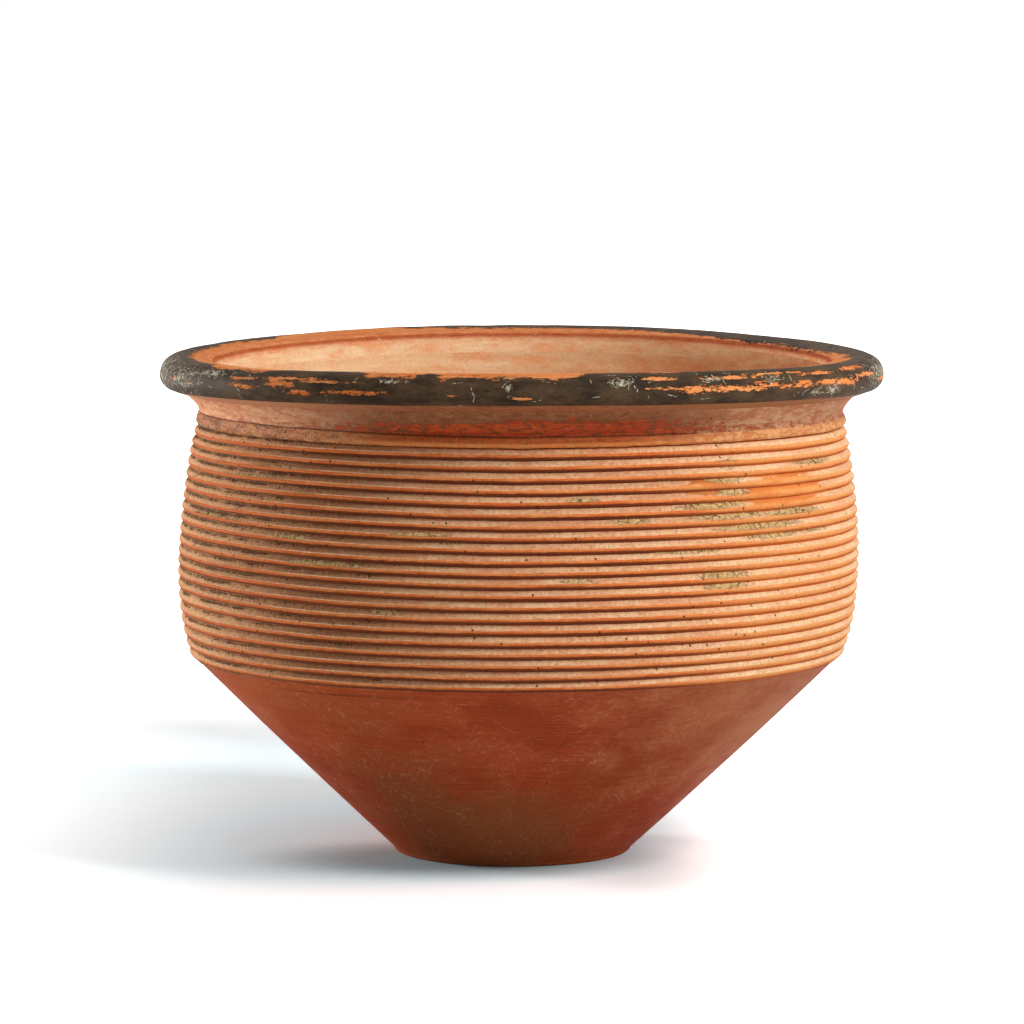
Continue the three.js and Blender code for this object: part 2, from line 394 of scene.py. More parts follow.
def neck_outside(angle, height):
    """A low bead, drawn in to the waist and flared out to the rim, as smooth blends, with a
    crease above the bead and a crack below it."""
    rise = height - NECK_BASE
    groove = BEAD_RADIUS - 1.25 * GROOVE_DEPTH
    bead = groove + (BEAD_RADIUS - groove) * np.clip(rise / 1.6, 0, 1) ** 0.6
    softer = leftness(angle)
    drawn_in = (BEAD_RADIUS - WAIST_RADIUS) * step(rise, 2.6 - 2.0 * softer, WAIST_RISE + 2.4 * softer)
    flare = NECK_FLARE * np.clip((rise - WAIST_RISE + 1) / (NECK_HEIGHT - WAIST_RISE + 1), 0, 1) ** 1.7
    wobble = 0.25 * wander(angle, 0 * height, 70, 5, 34)
    off = rise - crease_rise(angle) - wobble
    crease = CREASE_DEPTH * crease_open(angle) * np.exp(-((off / 0.4) ** 2))
    return bead - drawn_in - crease + flare


def crack(angle, height):
    """A narrow bell round the joint's level, open from the front to the right."""
    opened = step(angle, -0.5, -0.05) * (1 - step(angle, 1.5, 1.9))
    wobble = 0.35 * wander(angle, 0 * height, 90, 5, 35) + 0.2 * wander(angle, 0 * height, 300, 5, 36)
    narrow = np.exp(-(((height - NECK_BASE - wobble * opened) / CRACK_HALF) ** 2))
    return CRACK_DEPTH * narrow * (0.25 + 0.75 * opened)


def ragged_ledge(angle, height):
    """A step of the ledge's width, at a level that jumps up and down along the edge."""
    edge = SHOULDER_HEIGHT - 0.9 + 0.5 * layered(angle, 0 * height, 160, 5, 37)
    return SHOULDER_LEDGE * step(height, edge - 0.15, edge + 0.15) * (height <= SHOULDER_HEIGHT)


def outside(angle, height):
    """Radius of the outside at every height below the rim."""
    radius = np.where(height < SHOULDER_HEIGHT, cone_outside(height), fluted(angle, height))
    radius = np.where(height > NECK_BASE, neck_outside(angle, height), radius)
    broad = 0.16 * wander(angle, height, 14, 30, 41)
    lumps = 0.06 * layered(angle, height, 150, 4, 42)
    relief = broad + lumps + dents(angle, height)
    relief = relief - crack(angle, height) + ragged_ledge(angle, height)
    return radius + step(height, FOOT_EDGE, FOOT_EDGE + 4) * relief


def inside_radius(angle, height):
    """The inner wall, wiped level by level while the vessel was turned."""
    wipes = 0.13 * wander(angle, height, 7, 3.1, 61) + 0.06 * wander(angle, height, 30, 1.4, 62)
    broad = 0.35 * wander(angle, height, 12, 26, 63)
    calm = step(height, FLOOR_THICKNESS + 1, FLOOR_THICKNESS + 8)
    return inside(height) + calm * (wipes + broad)


sample = outside(ANGLE, 150.0 + 0 * ANGLE)
print(f"radius round the belly at 150 mm runs from {sample.min():.2f} to {sample.max():.2f} mm")

# %% [markdown]
# ## A ring of clay as one closed mesh
#
# A coil is a loop of rows: up its outside, in along its upper joint, down its inside and out along
# its lower joint. Each row goes all the way round. Rows and columns both close on themselves, so
# the mesh has no edge. Besides its position each point stores values that the clays read, and its
# place on the wall in two ways. "turned" puts the wall on a true cylinder, where noise has no
# seam. "wall" unrolls it flat, in metres along and up, for scratches and pits.

# %% Stretches of rows, and meshes from them
KEYS = ("face", "crest", "groove", "film", "soil", "bare", "smoke", "dust", "lit_side_and_tone", "shade", "level")
SHARP_FROM = math.radians(38)


def stretch(points, angle, along, layer=0.0, **values):
    """Rows of points with their place on the unrolled wall and their stored values."""
    shape = points.shape[:2]
    across = angle * BELLY_RADIUS * MM
    round_x, round_y = BELLY_RADIUS * MM * np.sin(angle), -BELLY_RADIUS * MM * np.cos(angle)
    wall = [np.broadcast_to(value, shape) for value in (across, along * MM, layer)]
    turned = [np.broadcast_to(value, shape) for value in (round_x, round_y, along * MM)]
    stored = {key: np.broadcast_to(values.get(key, 0.0), shape) for key in KEYS}
    return {"points": points, "wall": np.stack(wall, -1), "turned": np.stack(turned, -1), **stored}


def joined(parts):
    return {key: np.concatenate([part[key] for part in parts]) for key in parts[0]}


def across_joint(start, end, count=3):
    """Straight rows through the wall from one surface's last row to the next one's first."""
    shares = np.linspace(0, 1, count + 2)[1:-1]
    rows = np.stack([start + (end - start) * share for share in shares])
    return stretch(rows, ANGLE, 0.0)


def ring_faces(rows, closed=True):
    """Quads of a grid that closes round the vessel, and from the last row to the first."""
    row = np.arange(rows if closed else rows - 1)[:, None]
    column = np.arange(AROUND)[None, :]
    next_row = (row + 1) % rows
    next_column = (column + 1) % AROUND
    corners = (row * AROUND + column, row * AROUND + next_column,
               next_row * AROUND + next_column, next_row * AROUND + column)
    return np.stack(np.broadcast_arrays(*corners), axis=-1).reshape(-1, 4)


def write_mesh(name, part, faces, slots):
    """One object from a list of faces, with every stored value as an attribute of the points."""
    mesh = bpy.data.meshes.new(name)
    points = part["points"].reshape(-1, 3) * MM
    mesh.from_pydata(points, [], faces)
    mesh.polygons.foreach_set("material_index", np.asarray(slots, np.int32))
    mesh.polygons.foreach_set("use_smooth", np.ones(len(faces), bool))
    for key in KEYS:
        layer = mesh.attributes.new(key, "FLOAT", "POINT")
        layer.data.foreach_set("value", part[key].astype(np.float32).ravel())
    for key in ("wall", "turned"):
        layer = mesh.attributes.new(key, "FLOAT_VECTOR", "POINT")
        layer.data.foreach_set("vector", part[key].astype(np.float32).ravel())
    mesh.update()
    mesh.set_sharp_from_angle(angle=SHARP_FROM)
    piece = bpy.data.objects.new(name, mesh)
    bpy.context.scene.collection.objects.link(piece)
    return piece


print(f"{AROUND} columns, {2 * np.pi * BELLY_RADIUS / AROUND:.2f} mm apart at the belly")

# %% [markdown]
# ## What the clays read
#
# The belly's clay has to know where a point lies on its rib. Pale soil has settled on the upper
# faces, the crests are rubbed down to bright clay, and the undersides carry a painted shade.
# Cosines of the place within the rib give this without a jump at the grooves. Other values are
# broad areas: soil and smoke by side and height, and the sides where light and shade are painted.
# Their fine edges come later, from noise in the materials.

# %% Values stored on the points
SOIL_SPOTS = (
    (37, 180.0, 3.4, 1.7), (36, 173.8, 3.8, 1.6), (37.5, 168.4, 3.4, 1.6), (33, 163.2, 6.4, 1.8),
    (36.5, 158.6, 8.0, 1.8), (43, 153.6, 9.0, 1.8), (52, 158.0, 7.0, 1.6), (46, 149.0, 5.6, 1.5),
    (35, 134.0, 4.6, 1.7), (35.5, 129.5, 4.2, 1.6), (18, 158.0, 3.4, 1.1), (10, 167.0, 2.6, 1.1),
    (25, 175.0, 5.0, 1.1), (60, 178.0, 6.0, 1.3), (57, 150.0, 6.0, 1.4), (28, 145.0, 7.0, 1.3),
    (-12, 150.0, 3.4, 1.1), (-16, 152.6, 5.0, 1.0), (4, 136.6, 4.0, 1.0), (9, 134.0, 3.0, 0.9),
    (-44, 176.0, 7.0, 1.5), (-50, 171.0, 9.0, 1.5), (-38, 166.0, 4.0, 1.3), (-62, 152.0, 9.0, 1.8),
    (-40, 148.0, 4.0, 1.4), (-33, 138.0, 8.0, 1.4), (-52, 131.0, 7.0, 1.6), (-22, 120.0, 3.0, 1.2),
    (128, 160.0, 9.0, 2.0), (150, 140.0, 12.0, 1.8), (-150, 170.0, 12.0, 2.0), (-120, 130.0, 9.0, 2.0),
)
BARE_SPOTS = (
    (50, 166.5, 11.5, 8.5), (32, 171.0, 5.0, 4.0), (-160, 150.0, 12.0, 8.0), (140, 110.0, 10.0, 6.0),
)


def near(angle, degrees, width):
    """1 in a direction, fading to 0 over an angle, both in degrees."""
    turn = (angle - math.radians(degrees) + np.pi) % (2 * np.pi) - np.pi
    return np.exp(-((np.degrees(turn) / width) ** 2))


def belly_values(angle, height):
    circle = 2 * np.pi * rib_turn(angle, height)
    left = near(angle, -74, 42) + 0.5 * near(angle, 180, 60)
    upper_left = left * step(height, 100, 160)
    return {
        "face": np.cos(circle - 2 * np.pi * 0.76),
        "crest": np.cos(circle - 2 * np.pi * 0.46),
        "groove": np.cos(circle),
        "film": 0.5 + 0.3 * layered(angle, height, 22, 10, 56),
        "soil": 0.22 * upper_left + 0.14 * left + 0.3 * layered(angle, height, 30, 7, 51),
        "bare": patches(angle, height, BARE_SPOTS),
        "dust": patches(angle, height, SOIL_SPOTS),
        "smoke": left,
        # painted light: the right side, where the key light falls
        "lit_side_and_tone": near(angle, 64, 36),
        # painted shade and a painted highlight at the middle left, where the key light grazes the ribs
        "shade": near(angle, -35, 17),
        "level": height * MM,
    }


def cone_values(angle, height):
    wobble = 0.7 * layered(angle, 0 * height, 30, 5, 50)
    # darker low at the front
    darker_low_front = near(angle, -16, 44) * (1 - step(height, 8, 66))
    # the grey-pink bloom at the upper right: dust, and a painted sheen where the key light falls
    dusty = near(angle, 50, 36) * step(height, 8, 70) + 0.5 * near(angle, 150, 50)
    below_ribs = np.exp(-(((height - SHOULDER_HEIGHT + 4.0 - wobble) / 0.55) ** 2))
    return {
        "smoke": darker_low_front + 0.4 * layered(angle, height, 12, 25, 52),
        "dust": dusty + 0.35 * layered(angle, height, 16, 18, 53),
        # a dark line a little below the lowest rib, at the front left
        "groove": near(angle, -32, 22) * below_ribs,
        "bare": near(angle, -58, 36) * step(height, 40, 80),
    }


# where bare red slip reaches to above the crease, as angles with heights in mm
RED_KNOTS = (
    (-180, 2), (-80, 1), (-45, 3), (-25, 7), (-8, 6.5), (-2, 8.5), (35, 8), (50, 4.5), (70, 2), (180, 2),
)


def neck_values(angle, height):
    knots = np.array(RED_KNOTS, float)
    crease = NECK_BASE + crease_rise(angle)
    top = crease + np.interp(np.degrees(angle), knots[:, 0], knots[:, 1])
    ragged = 1.6 * layered(angle, height, 80, 6, 57)
    sides = 1 - near(angle, 0, 36)
    soiled_left = near(angle, -70, 40) * (0.2 + 0.4 * step(crease - height, -0.5, 1))
    return {
        "bare": step(top + ragged - height, -2.5, 2.5) * (1 - 0.45 * sides),
        "film": sides,
        "smoke": near(angle, -74, 36),
        "groove": crease_open(angle) * np.exp(-(((height - crease) / 0.5) ** 2)),
        "crest": np.clip(0.5 + (crease - height) / 1.2, -1, 2),
        "soil": soiled_left + 0.15 + 0.3 * layered(angle, height, 30, 6, 58),
        "level": height * MM,
    }


def inner_values(angle, height):
    return {
        "lit_side_and_tone": layered(angle, height, 10, 22, 55),
        # painted shadow of the rim on the inner wall, at the right of the back
        "shade": near(angle, 108, 26) * step(height, 188, 210),
    }


print(f"values on the points: {', '.join(KEYS)}; {len(SOIL_SPOTS)} patches of soil")

# %% [markdown]
# ## Making the coils
#
# The joints are listed from the floor up, each with its outer and its inner height. A coil lies
# between two neighbouring joints. Its outer rows are dense on the ribs and crowd towards the
# grooves, where the shape turns quickest. Rows where two pieces meet come from the same functions,
# so the outsides run on without a step, and a joint shows only where the real one does.

# %% The joints and the rows between them
CONE_RISE = (SHOULDER_HEIGHT - FLOOR_JOINT) / CONE_COILS
CONE_LEVELS = [FLOOR_JOINT + i * CONE_RISE for i in range(CONE_COILS)]
RIB_LEVELS = SHOULDER_HEIGHT + RIB_PITCH * np.cumsum((0, *BELLY_COIL_RIBS))
JOINTS = [(level, level + CONE_JOINT_RISE) for level in CONE_LEVELS]
JOINTS += [(float(level), float(level) + BELLY_JOINT_RISE) for level in RIB_LEVELS]
JOINTS.append((RIM_BASE, RIM_BASE + RIM_JOINT_RISE))
ROWS_A_RIB = 13
CONE_ROW = 0.75
NECK_ROW = 0.36
INSIDE_ROW = 1.3


def rib_rows(low, high):
    """Heights that crowd near the grooves: an even share less a sine of twice its turn."""
    ribs = int(round((high - low) / RIB_PITCH))
    share = np.arange(ribs * ROWS_A_RIB + 1) / ROWS_A_RIB
    return low + RIB_PITCH * (share - 0.09 * np.sin(2 * np.pi * share))


def even_rows(low, high, gap):
    return np.linspace(low, high, int(round(abs(high - low) / gap)) + 1)


def cone_rows(low, high):
    """Even rows, and four times as many in the ledge's last two millimetres."""
    if high < SHOULDER_HEIGHT:
        return even_rows(low, high, CONE_ROW)
    dense = even_rows(high - 2, high, CONE_ROW / 4)
    return np.concatenate([even_rows(low, high - 2, CONE_ROW)[:-1], dense])


def grid(levels):
    """The angle and the level of every point of rows at these levels."""
    level = np.asarray(levels)[:, None] * np.ones_like(ANGLE)
    return np.ones_like(level) * ANGLE, level


def outer_stretch(heights, values):
    angle, height = grid(heights)
    points = place(angle, outside(angle, height), height)
    return stretch(points, angle, height, **values(angle, height))


def inner_stretch(heights):
    angle, height = grid(heights)
    points = place(angle, inside_radius(angle, height), height)
    return stretch(points, angle, height, 0.3, **inner_values(angle, height))


def coil_piece(name, lower, upper, heights, values):
    outer = outer_stretch(heights, values)
    inner = inner_stretch(even_rows(upper[1], lower[1], INSIDE_ROW))
    top = across_joint(outer["points"][-1], inner["points"][0])
    bottom = across_joint(inner["points"][-1], outer["points"][0])
    part = joined([outer, top, inner, bottom])
    rows = len(part["points"])
    inner_from = len(outer["points"]) + 1
    inner_to = rows - len(bottom["points"])
    row_slots = [1 if inner_from <= row < inner_to else 0 for row in range(rows)]
    return write_mesh(name, part, ring_faces(rows), np.repeat(row_slots, AROUND))


pieces = {}


def make_coils(part, first_joint, count, rows, values):
    for number in range(1, count + 1):
        low, high = JOINTS[first_joint + number - 1:first_joint + number + 1]
        heights = rows(low[0], high[0])
        pieces[f"{part}_coil_{number}"] = coil_piece(f"{part}_clay_{number}", low, high, heights, values)


make_coils("cone", 0, CONE_COILS, cone_rows, cone_values)
make_coils("belly", CONE_COILS, len(BELLY_COIL_RIBS), rib_rows, belly_values)
neck_heights = even_rows(NECK_BASE, RIM_BASE, NECK_ROW)
pieces["neck_collar"] = coil_piece("neck_clay", JOINTS[-2], JOINTS[-1], neck_heights, neck_values)
for name, piece in pieces.items():
    print(f"{name}: {len(piece.data.polygons)} quads")

# %% [markdown]
# ## The floor disc
#
# The disc is the one piece with a middle. Its rows shrink towards a single point under the foot
# and again on the floor inside. A fan of triangles closes each.

# %% The disc with its two middles


def flat_stretch(radii, heights, layer, values):
    angle, radius = grid(radii)
    height = grid(heights)[1]
    return stretch(place(angle, radius, height), angle, radius, layer, **values(angle, height))


def disc_piece():
    joint_low, joint_high = JOINTS[0]
    under = np.linspace(2.0, FOOT_RADIUS - 2.2, 18)
    rounding = FOOT_RADIUS - np.array([1.4, 0.8, 0.38, 0.1])
    foot_heights = np.concatenate([0 * under, [0.12, 0.42, 0.85, 1.35]])
    foot = flat_stretch(np.concatenate([under, rounding]), foot_heights, 0.6, cone_values)
    outer = outer_stretch(even_rows(FOOT_EDGE, joint_low, CONE_ROW), cone_values)
    inner = inner_stretch(even_rows(joint_high, FLOOR_THICKNESS, CONE_ROW))
    floor_radii = np.linspace(float(inside(FLOOR_THICKNESS)), 2.0, 24)[1:]
    floor_heights = FLOOR_THICKNESS + 0.12 * np.sin(1.1 * floor_radii)
    floor = flat_stretch(floor_radii, floor_heights, 0.9, inner_values)
    top = across_joint(outer["points"][-1], inner["points"][0])
    part = joined([foot, outer, top, inner, floor])
    rows = len(part["points"])
    middles = np.stack([place(0.0, 0.0, 0.0), place(0.0, 0.0, FLOOR_THICKNESS)])
    flat = {key: value.reshape(-1, *value.shape[2:]) for key, value in part.items()}
    closed = {key: np.concatenate([value, value[:1], value[-1:]]) for key, value in flat.items()}
    closed["points"][-2:] = middles
    column = np.arange(AROUND)
    following = (column + 1) % AROUND
    last = (rows - 1) * AROUND
    under_fan = np.stack([following, column, np.full(AROUND, rows * AROUND)], axis=-1)
    floor_fan = np.stack([last + column, last + following, np.full(AROUND, rows * AROUND + 1)], axis=-1)
    faces = ring_faces(rows, closed=False).tolist() + under_fan.tolist() + floor_fan.tolist()
    inner_from = len(foot["points"]) + len(outer["points"]) + 1
    row_slots = [0 if row < inner_from else 1 for row in range(rows - 1)]
    slots = np.concatenate([np.repeat(row_slots, AROUND), np.zeros(AROUND), np.ones(AROUND)])
    return write_mesh("disc_clay", closed, faces, slots)


pieces["base_disc"] = disc_piece()
print(f"disc_clay: {len(pieces['base_disc'].data.polygons)} faces")

# %% [markdown]
# ## The rim
#
# The rim is a roll of clay bent outwards. Its outline leaves the joint, runs out along the
# underside, round the edge, over the crest and down the slope inside the mouth to a small ledge.
# A few curves give the outline, and repeated averaging rounds the corners between them, as a wet
# thumb does. Its place on the wall is counted along the outline, from the joint under the rim.

# %% The outline of the rim


def bezier(points, count):
    """Points on a Bezier curve of any degree, by repeated blending of neighbouring points."""
    share = np.linspace(0, 1, count)[:, None]
    layers = [np.array(p, float)[None, :] * np.ones_like(share) for p in points]
    while len(layers) > 1:
        layers = [a + (b - a) * share for a, b in zip(layers, layers[1:])]
    return layers[0]


def gone_along(line):
    """How far along the line each of its points lies."""
    return np.concatenate([[0], np.cumsum(np.hypot(*np.diff(line, axis=0).T))])


def evenly(line, spacing):
    """The same line with points at one even spacing."""
    gone = gone_along(line)
    at = np.linspace(0, gone[-1], max(2, int(round(gone[-1] / spacing)) + 1))
    return np.stack([np.interp(at, gone, line[:, 0]), np.interp(at, gone, line[:, 1])], axis=-1)


def rounded(line, passes):
    """Corners rounded by repeated averaging with both neighbours; the ends stay."""
    line = line.copy()
    for _ in range(passes):
        line[1:-1] = 0.25 * line[:-2] + 0.5 * line[1:-1] + 0.25 * line[2:]
    return line


RIM_SPACING = 0.6
EDGE_HEIGHT = RIM_BASE + RIM_EDGE_RISE
LEDGE_HEIGHT = CREST_HEIGHT - LEDGE_DROP
LEDGE_END = (THROAT_RADIUS + LEDGE_WIDTH, LEDGE_HEIGHT - LEDGE_STEP)


def rim_outline():
    joint = (NECK_TOP_RADIUS, RIM_BASE)
    underside = (RIM_RADIUS - UNDERSIDE_INSET, RIM_BASE + RIM_UNDERSIDE_RISE)
    edge = (RIM_RADIUS, EDGE_HEIGHT)
    above_edge = (RIM_RADIUS, EDGE_HEIGHT + ROUND_SHARE * (CREST_HEIGHT - EDGE_HEIGHT))
    crest = (CREST_RADIUS, CREST_HEIGHT)
    before_crest = (CREST_RADIUS + ROUND_SHARE * CREST_INSET, CREST_HEIGHT)
    ledge = (THROAT_RADIUS + 2 * LEDGE_WIDTH, LEDGE_HEIGHT)
    below_ledge = (THROAT_RADIUS + 1.2, LEDGE_HEIGHT - 3)
    throat = (float(inside(JOINTS[-1][1])), JOINTS[-1][1])
    curves = (
        bezier([joint, underside], 20),
        bezier([underside, (RIM_RADIUS, EDGE_HEIGHT - EDGE_ROUND), edge], 30),
        bezier([edge, above_edge, before_crest, crest], 60),
        bezier([crest, (CREST_RADIUS - CREST_FLAT, CREST_HEIGHT), ledge], 50),
        bezier([ledge, LEDGE_END], 10),
        bezier([LEDGE_END, below_ledge, throat], 20),
    )
    return evenly(rounded(evenly(np.concatenate(curves), RIM_SPACING / 2), 8), RIM_SPACING)


RIM_LINE = rim_outline()
RIM_GONE = gone_along(RIM_LINE)
CREST_AT = RIM_GONE[np.argmax(RIM_LINE[:, 1])]
EDGE_AT = RIM_GONE[np.argmax(RIM_LINE[:, 0])]
UNDERSIDE_AT = math.hypot(RIM_OVERHANG - UNDERSIDE_INSET, RIM_UNDERSIDE_RISE) - 0.4
LEDGE_AT = RIM_GONE[np.argmin(np.hypot(*(RIM_LINE - LEDGE_END).T))]
print(f"along the rim: edge {EDGE_AT:.1f}, crest {CREST_AT:.1f}, ledge {LEDGE_AT:.1f} mm")

# %% [markdown]
# ## Where the paint has gone
#
# The black paint covers the rim from below the edge over the crest. Its inner edge wanders. At
# some places the whole crest is worn bare, and level flakes are missing lower down. The edge is
# set by a few angles with the distance past the crest, and the flakes by patches along the
# outline.

# %% The rim with its worn paint
# where the paint ends, as angles with distances past the crest in mm
PAINT_KNOTS = (
    (-180, 5), (-160, 4), (-156, -2.5), (-135, -2.5), (-128, 4), (-115, 1), (-100, 4), (-82, 2.5),
    (-63, 2), (-59, -5), (-45, -6), (-41, -1), (-27, -0.5),
    (-24, -7.5), (-17, -8), (-14, -4), (-12, -8.5), (8, -8.5), (10, -2), (19, -1.5), (22, -4), (30, -1),
    (60, 0.5), (80, 3), (95, 7), (108, 12), (135, 12), (150, 9), (165, 6), (180, 5),
)
FLAKES = (
    (-48, 16.3, 5.5, 1.9), (-39.8, 18.0, 4.0, 3.0), (-35.7, 14.4, 3.5, 1.6), (-26.6, 15.0, 9.0, 1.6),
    (-36.5, 20.8, 8.0, 1.2), (-70.4, 16.4, 1.6, 1.3), (-62.8, 15.4, 1.4, 1.2), (21.3, 21.5, 3.5, 1.8),
    (28, 16.4, 9.0, 2.4), (40, 17.2, 6.0, 3.0), (48.3, 17.2, 5.0, 2.2), (60, 16.8, 7.5, 2.4),
    (64, 22.7, 8.0, 2.2), (80, 15.0, 8.0, 1.6), (-10.5, 14.2, 1.8, 0.8), (0.2, 13.0, 2.4, 1.0),
    (34, 21.5, 9.0, 1.6), (52, 21.5, 8.0, 1.4), (22, 16.8, 5.0, 1.1), (35, 16.2, 8.0, 1.6),
    (46, 16.6, 8.0, 1.7), (55, 17.4, 7.0, 1.6), (44, 23.0, 11.0, 1.2), (68, 18.6, 9.0, 1.4),
    (-31, 19.4, 9.0, 1.0), (-48, 19.8, 5.0, 1.0),
    (110, 19.0, 8.0, 1.6), (135, 16.0, 6.0, 1.2), (150, 20.0, 5.0, 2.0), (-105, 17.0, 6.0, 1.4),
    (-128, 20.0, 9.0, 1.6), (-150, 15.5, 7.0, 1.2), (175, 17.5, 5.0, 1.2), (-168, 21.0, 5.0, 1.4),
)
CRUSTS = (
    (-84, 19.0, 18.0, 10.0), (-67, 18.0, 9.0, 7.0), (-57, 21.5, 7.0, 3.0), (-47, 21.0, 1.6, 2.6),
    (15, 19.5, 3.0, 4.0),
    (30, 21.0, 3.0, 2.2), (42, 20.0, 2.4, 3.0), (56, 14.0, 3.0, 3.6), (50, 13.0, 6.0, 1.2),
    (80, 18.0, 12.0, 8.0), (-20, 20.0, 3.0, 1.4), (-2, 17.0, 0.7, 5.0), (140, 18.0, 8.0, 4.0),
    (-140, 18.0, 6.0, 4.0),
)


LEDGE_TO = LEDGE_AT + 3.2


def rim_values(angle, travel):
    knots = np.array(PAINT_KNOTS, float)
    reach = CREST_AT + np.interp(np.degrees(angle), knots[:, 0], knots[:, 1])
    reach = reach + 0.9 * layered(angle, 0 * travel, 50, 5, 73)
    past = np.clip(0.5 + (travel - reach) / 7, 0, 1.6)
    return {
        "bare": np.maximum(past, patches(angle, travel, FLAKES)),
        # painted shade: the dark red band under the ledge
        "groove": step(travel, LEDGE_AT - 1.2, LEDGE_AT) * (1 - step(travel, LEDGE_AT + 0.5, LEDGE_TO)),
        "dust": patches(angle, travel, CRUSTS),
        # the same painted shadow of the rim, for the inner clay below the ledge
        "shade": near(angle, 108, 26),
        "film": step(travel, CREST_AT + 1, LEDGE_AT),
        "smoke": 0.5 + (UNDERSIDE_AT - travel) / 1.6,
        "crest": step(travel, LEDGE_AT + 1, LEDGE_TO),
        "soil": near(angle, 50, 40),
        # painted light: the left side of the bare underside, where the left lamp reaches under the lip
        "lit_side_and_tone": near(angle, -60, 34) * (travel < CREST_AT),
    }


def rim_piece():
    along = np.gradient(RIM_LINE, axis=0)
    along /= np.hypot(*along.T)[:, None]
    normal = np.stack([along[:, 1], -along[:, 0]], axis=-1)
    fade = (step(RIM_GONE, 0, 2.5) * (1 - step(RIM_GONE, RIM_GONE[-1] - 2.5, RIM_GONE[-1])))[:, None]
    angle = np.ones((len(RIM_LINE), 1)) * ANGLE
    travel = RIM_GONE[:, None] * np.ones_like(ANGLE)
    values = rim_values(angle, travel)
    lumps = 0.35 * wander(angle, travel, 16, 22, 71) + 0.2 * layered(angle, travel, 60, 7, 72)
    relief = fade * (lumps - 0.12 * np.clip(2 * values["bare"] - 1, 0, 1))
    wiped = step(RIM_GONE, LEDGE_AT + 1, RIM_GONE[-1] - 1)[:, None]
    throat_shift = inside_radius(ANGLE, JOINTS[-1][1]) - inside(JOINTS[-1][1])
    radius = RIM_LINE[:, :1] + normal[:, :1] * relief + wiped * throat_shift
    height = RIM_LINE[:, 1:] + normal[:, 1:] * relief
    ledge_row = int(np.searchsorted(RIM_GONE, LEDGE_AT + 3.5))
    points = place(angle, radius, height)
    shown = stretch(points, angle, travel, **values)
    hidden = across_joint(points[-1], points[0])
    part = joined([shown, hidden])
    rows = len(part["points"])
    row_slots = [1 if ledge_row <= row < len(RIM_LINE) - 1 else 0 for row in range(rows)]
    return write_mesh("rim_clay", part, ring_faces(rows), np.repeat(row_slots, AROUND))


pieces["rim_lip"] = rim_piece()
print(f"rim_clay: {len(pieces['rim_lip'].data.polygons)} quads")

# %% [markdown]
# ## Riding and replacing
#
# Nothing on a bowl moves, so every piece rides on the one body, root. Each fine piece stands for
# its ring in the frame and takes its finish from that ring's slot in the record.

# %% Tying the pieces to the frame
slots_by_node = {part["node"]: part["material_slot"] for part in frame["record"]["subparts"]}
for node, piece in pieces.items():
    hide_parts(node)
    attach(piece, "root")
    fine_low = np.array([v[:] for v in piece.bound_box]).min(0)
    fine_high = np.array([v[:] for v in piece.bound_box]).max(0)
    low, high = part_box(node)
    off = max(np.abs(fine_low - low).max(), np.abs(fine_high - high).max())
    print(f"{node}: fine piece within {off * 1000:.1f} mm of its solid")

# %% [markdown]
# ## A short way to wire materials
#
# Materials are networks of small nodes. Written out, each node takes four or five lines, which
# hides the idea. The helper below places a node, sets its plain values and links its inputs in
# one call, so that a material reads like a recipe.

# %% The wiring helper


def linear(code):
    """A colour as written for the screen, such as "#a0401c", in the light units of shaders."""
    parts = [int(code[i:i + 2], 16) / 255 for i in (1, 3, 5)]
    return (*[p / 12.92 if p < 0.04045 else ((p + 0.055) / 1.055) ** 2.4 for p in parts], 1)


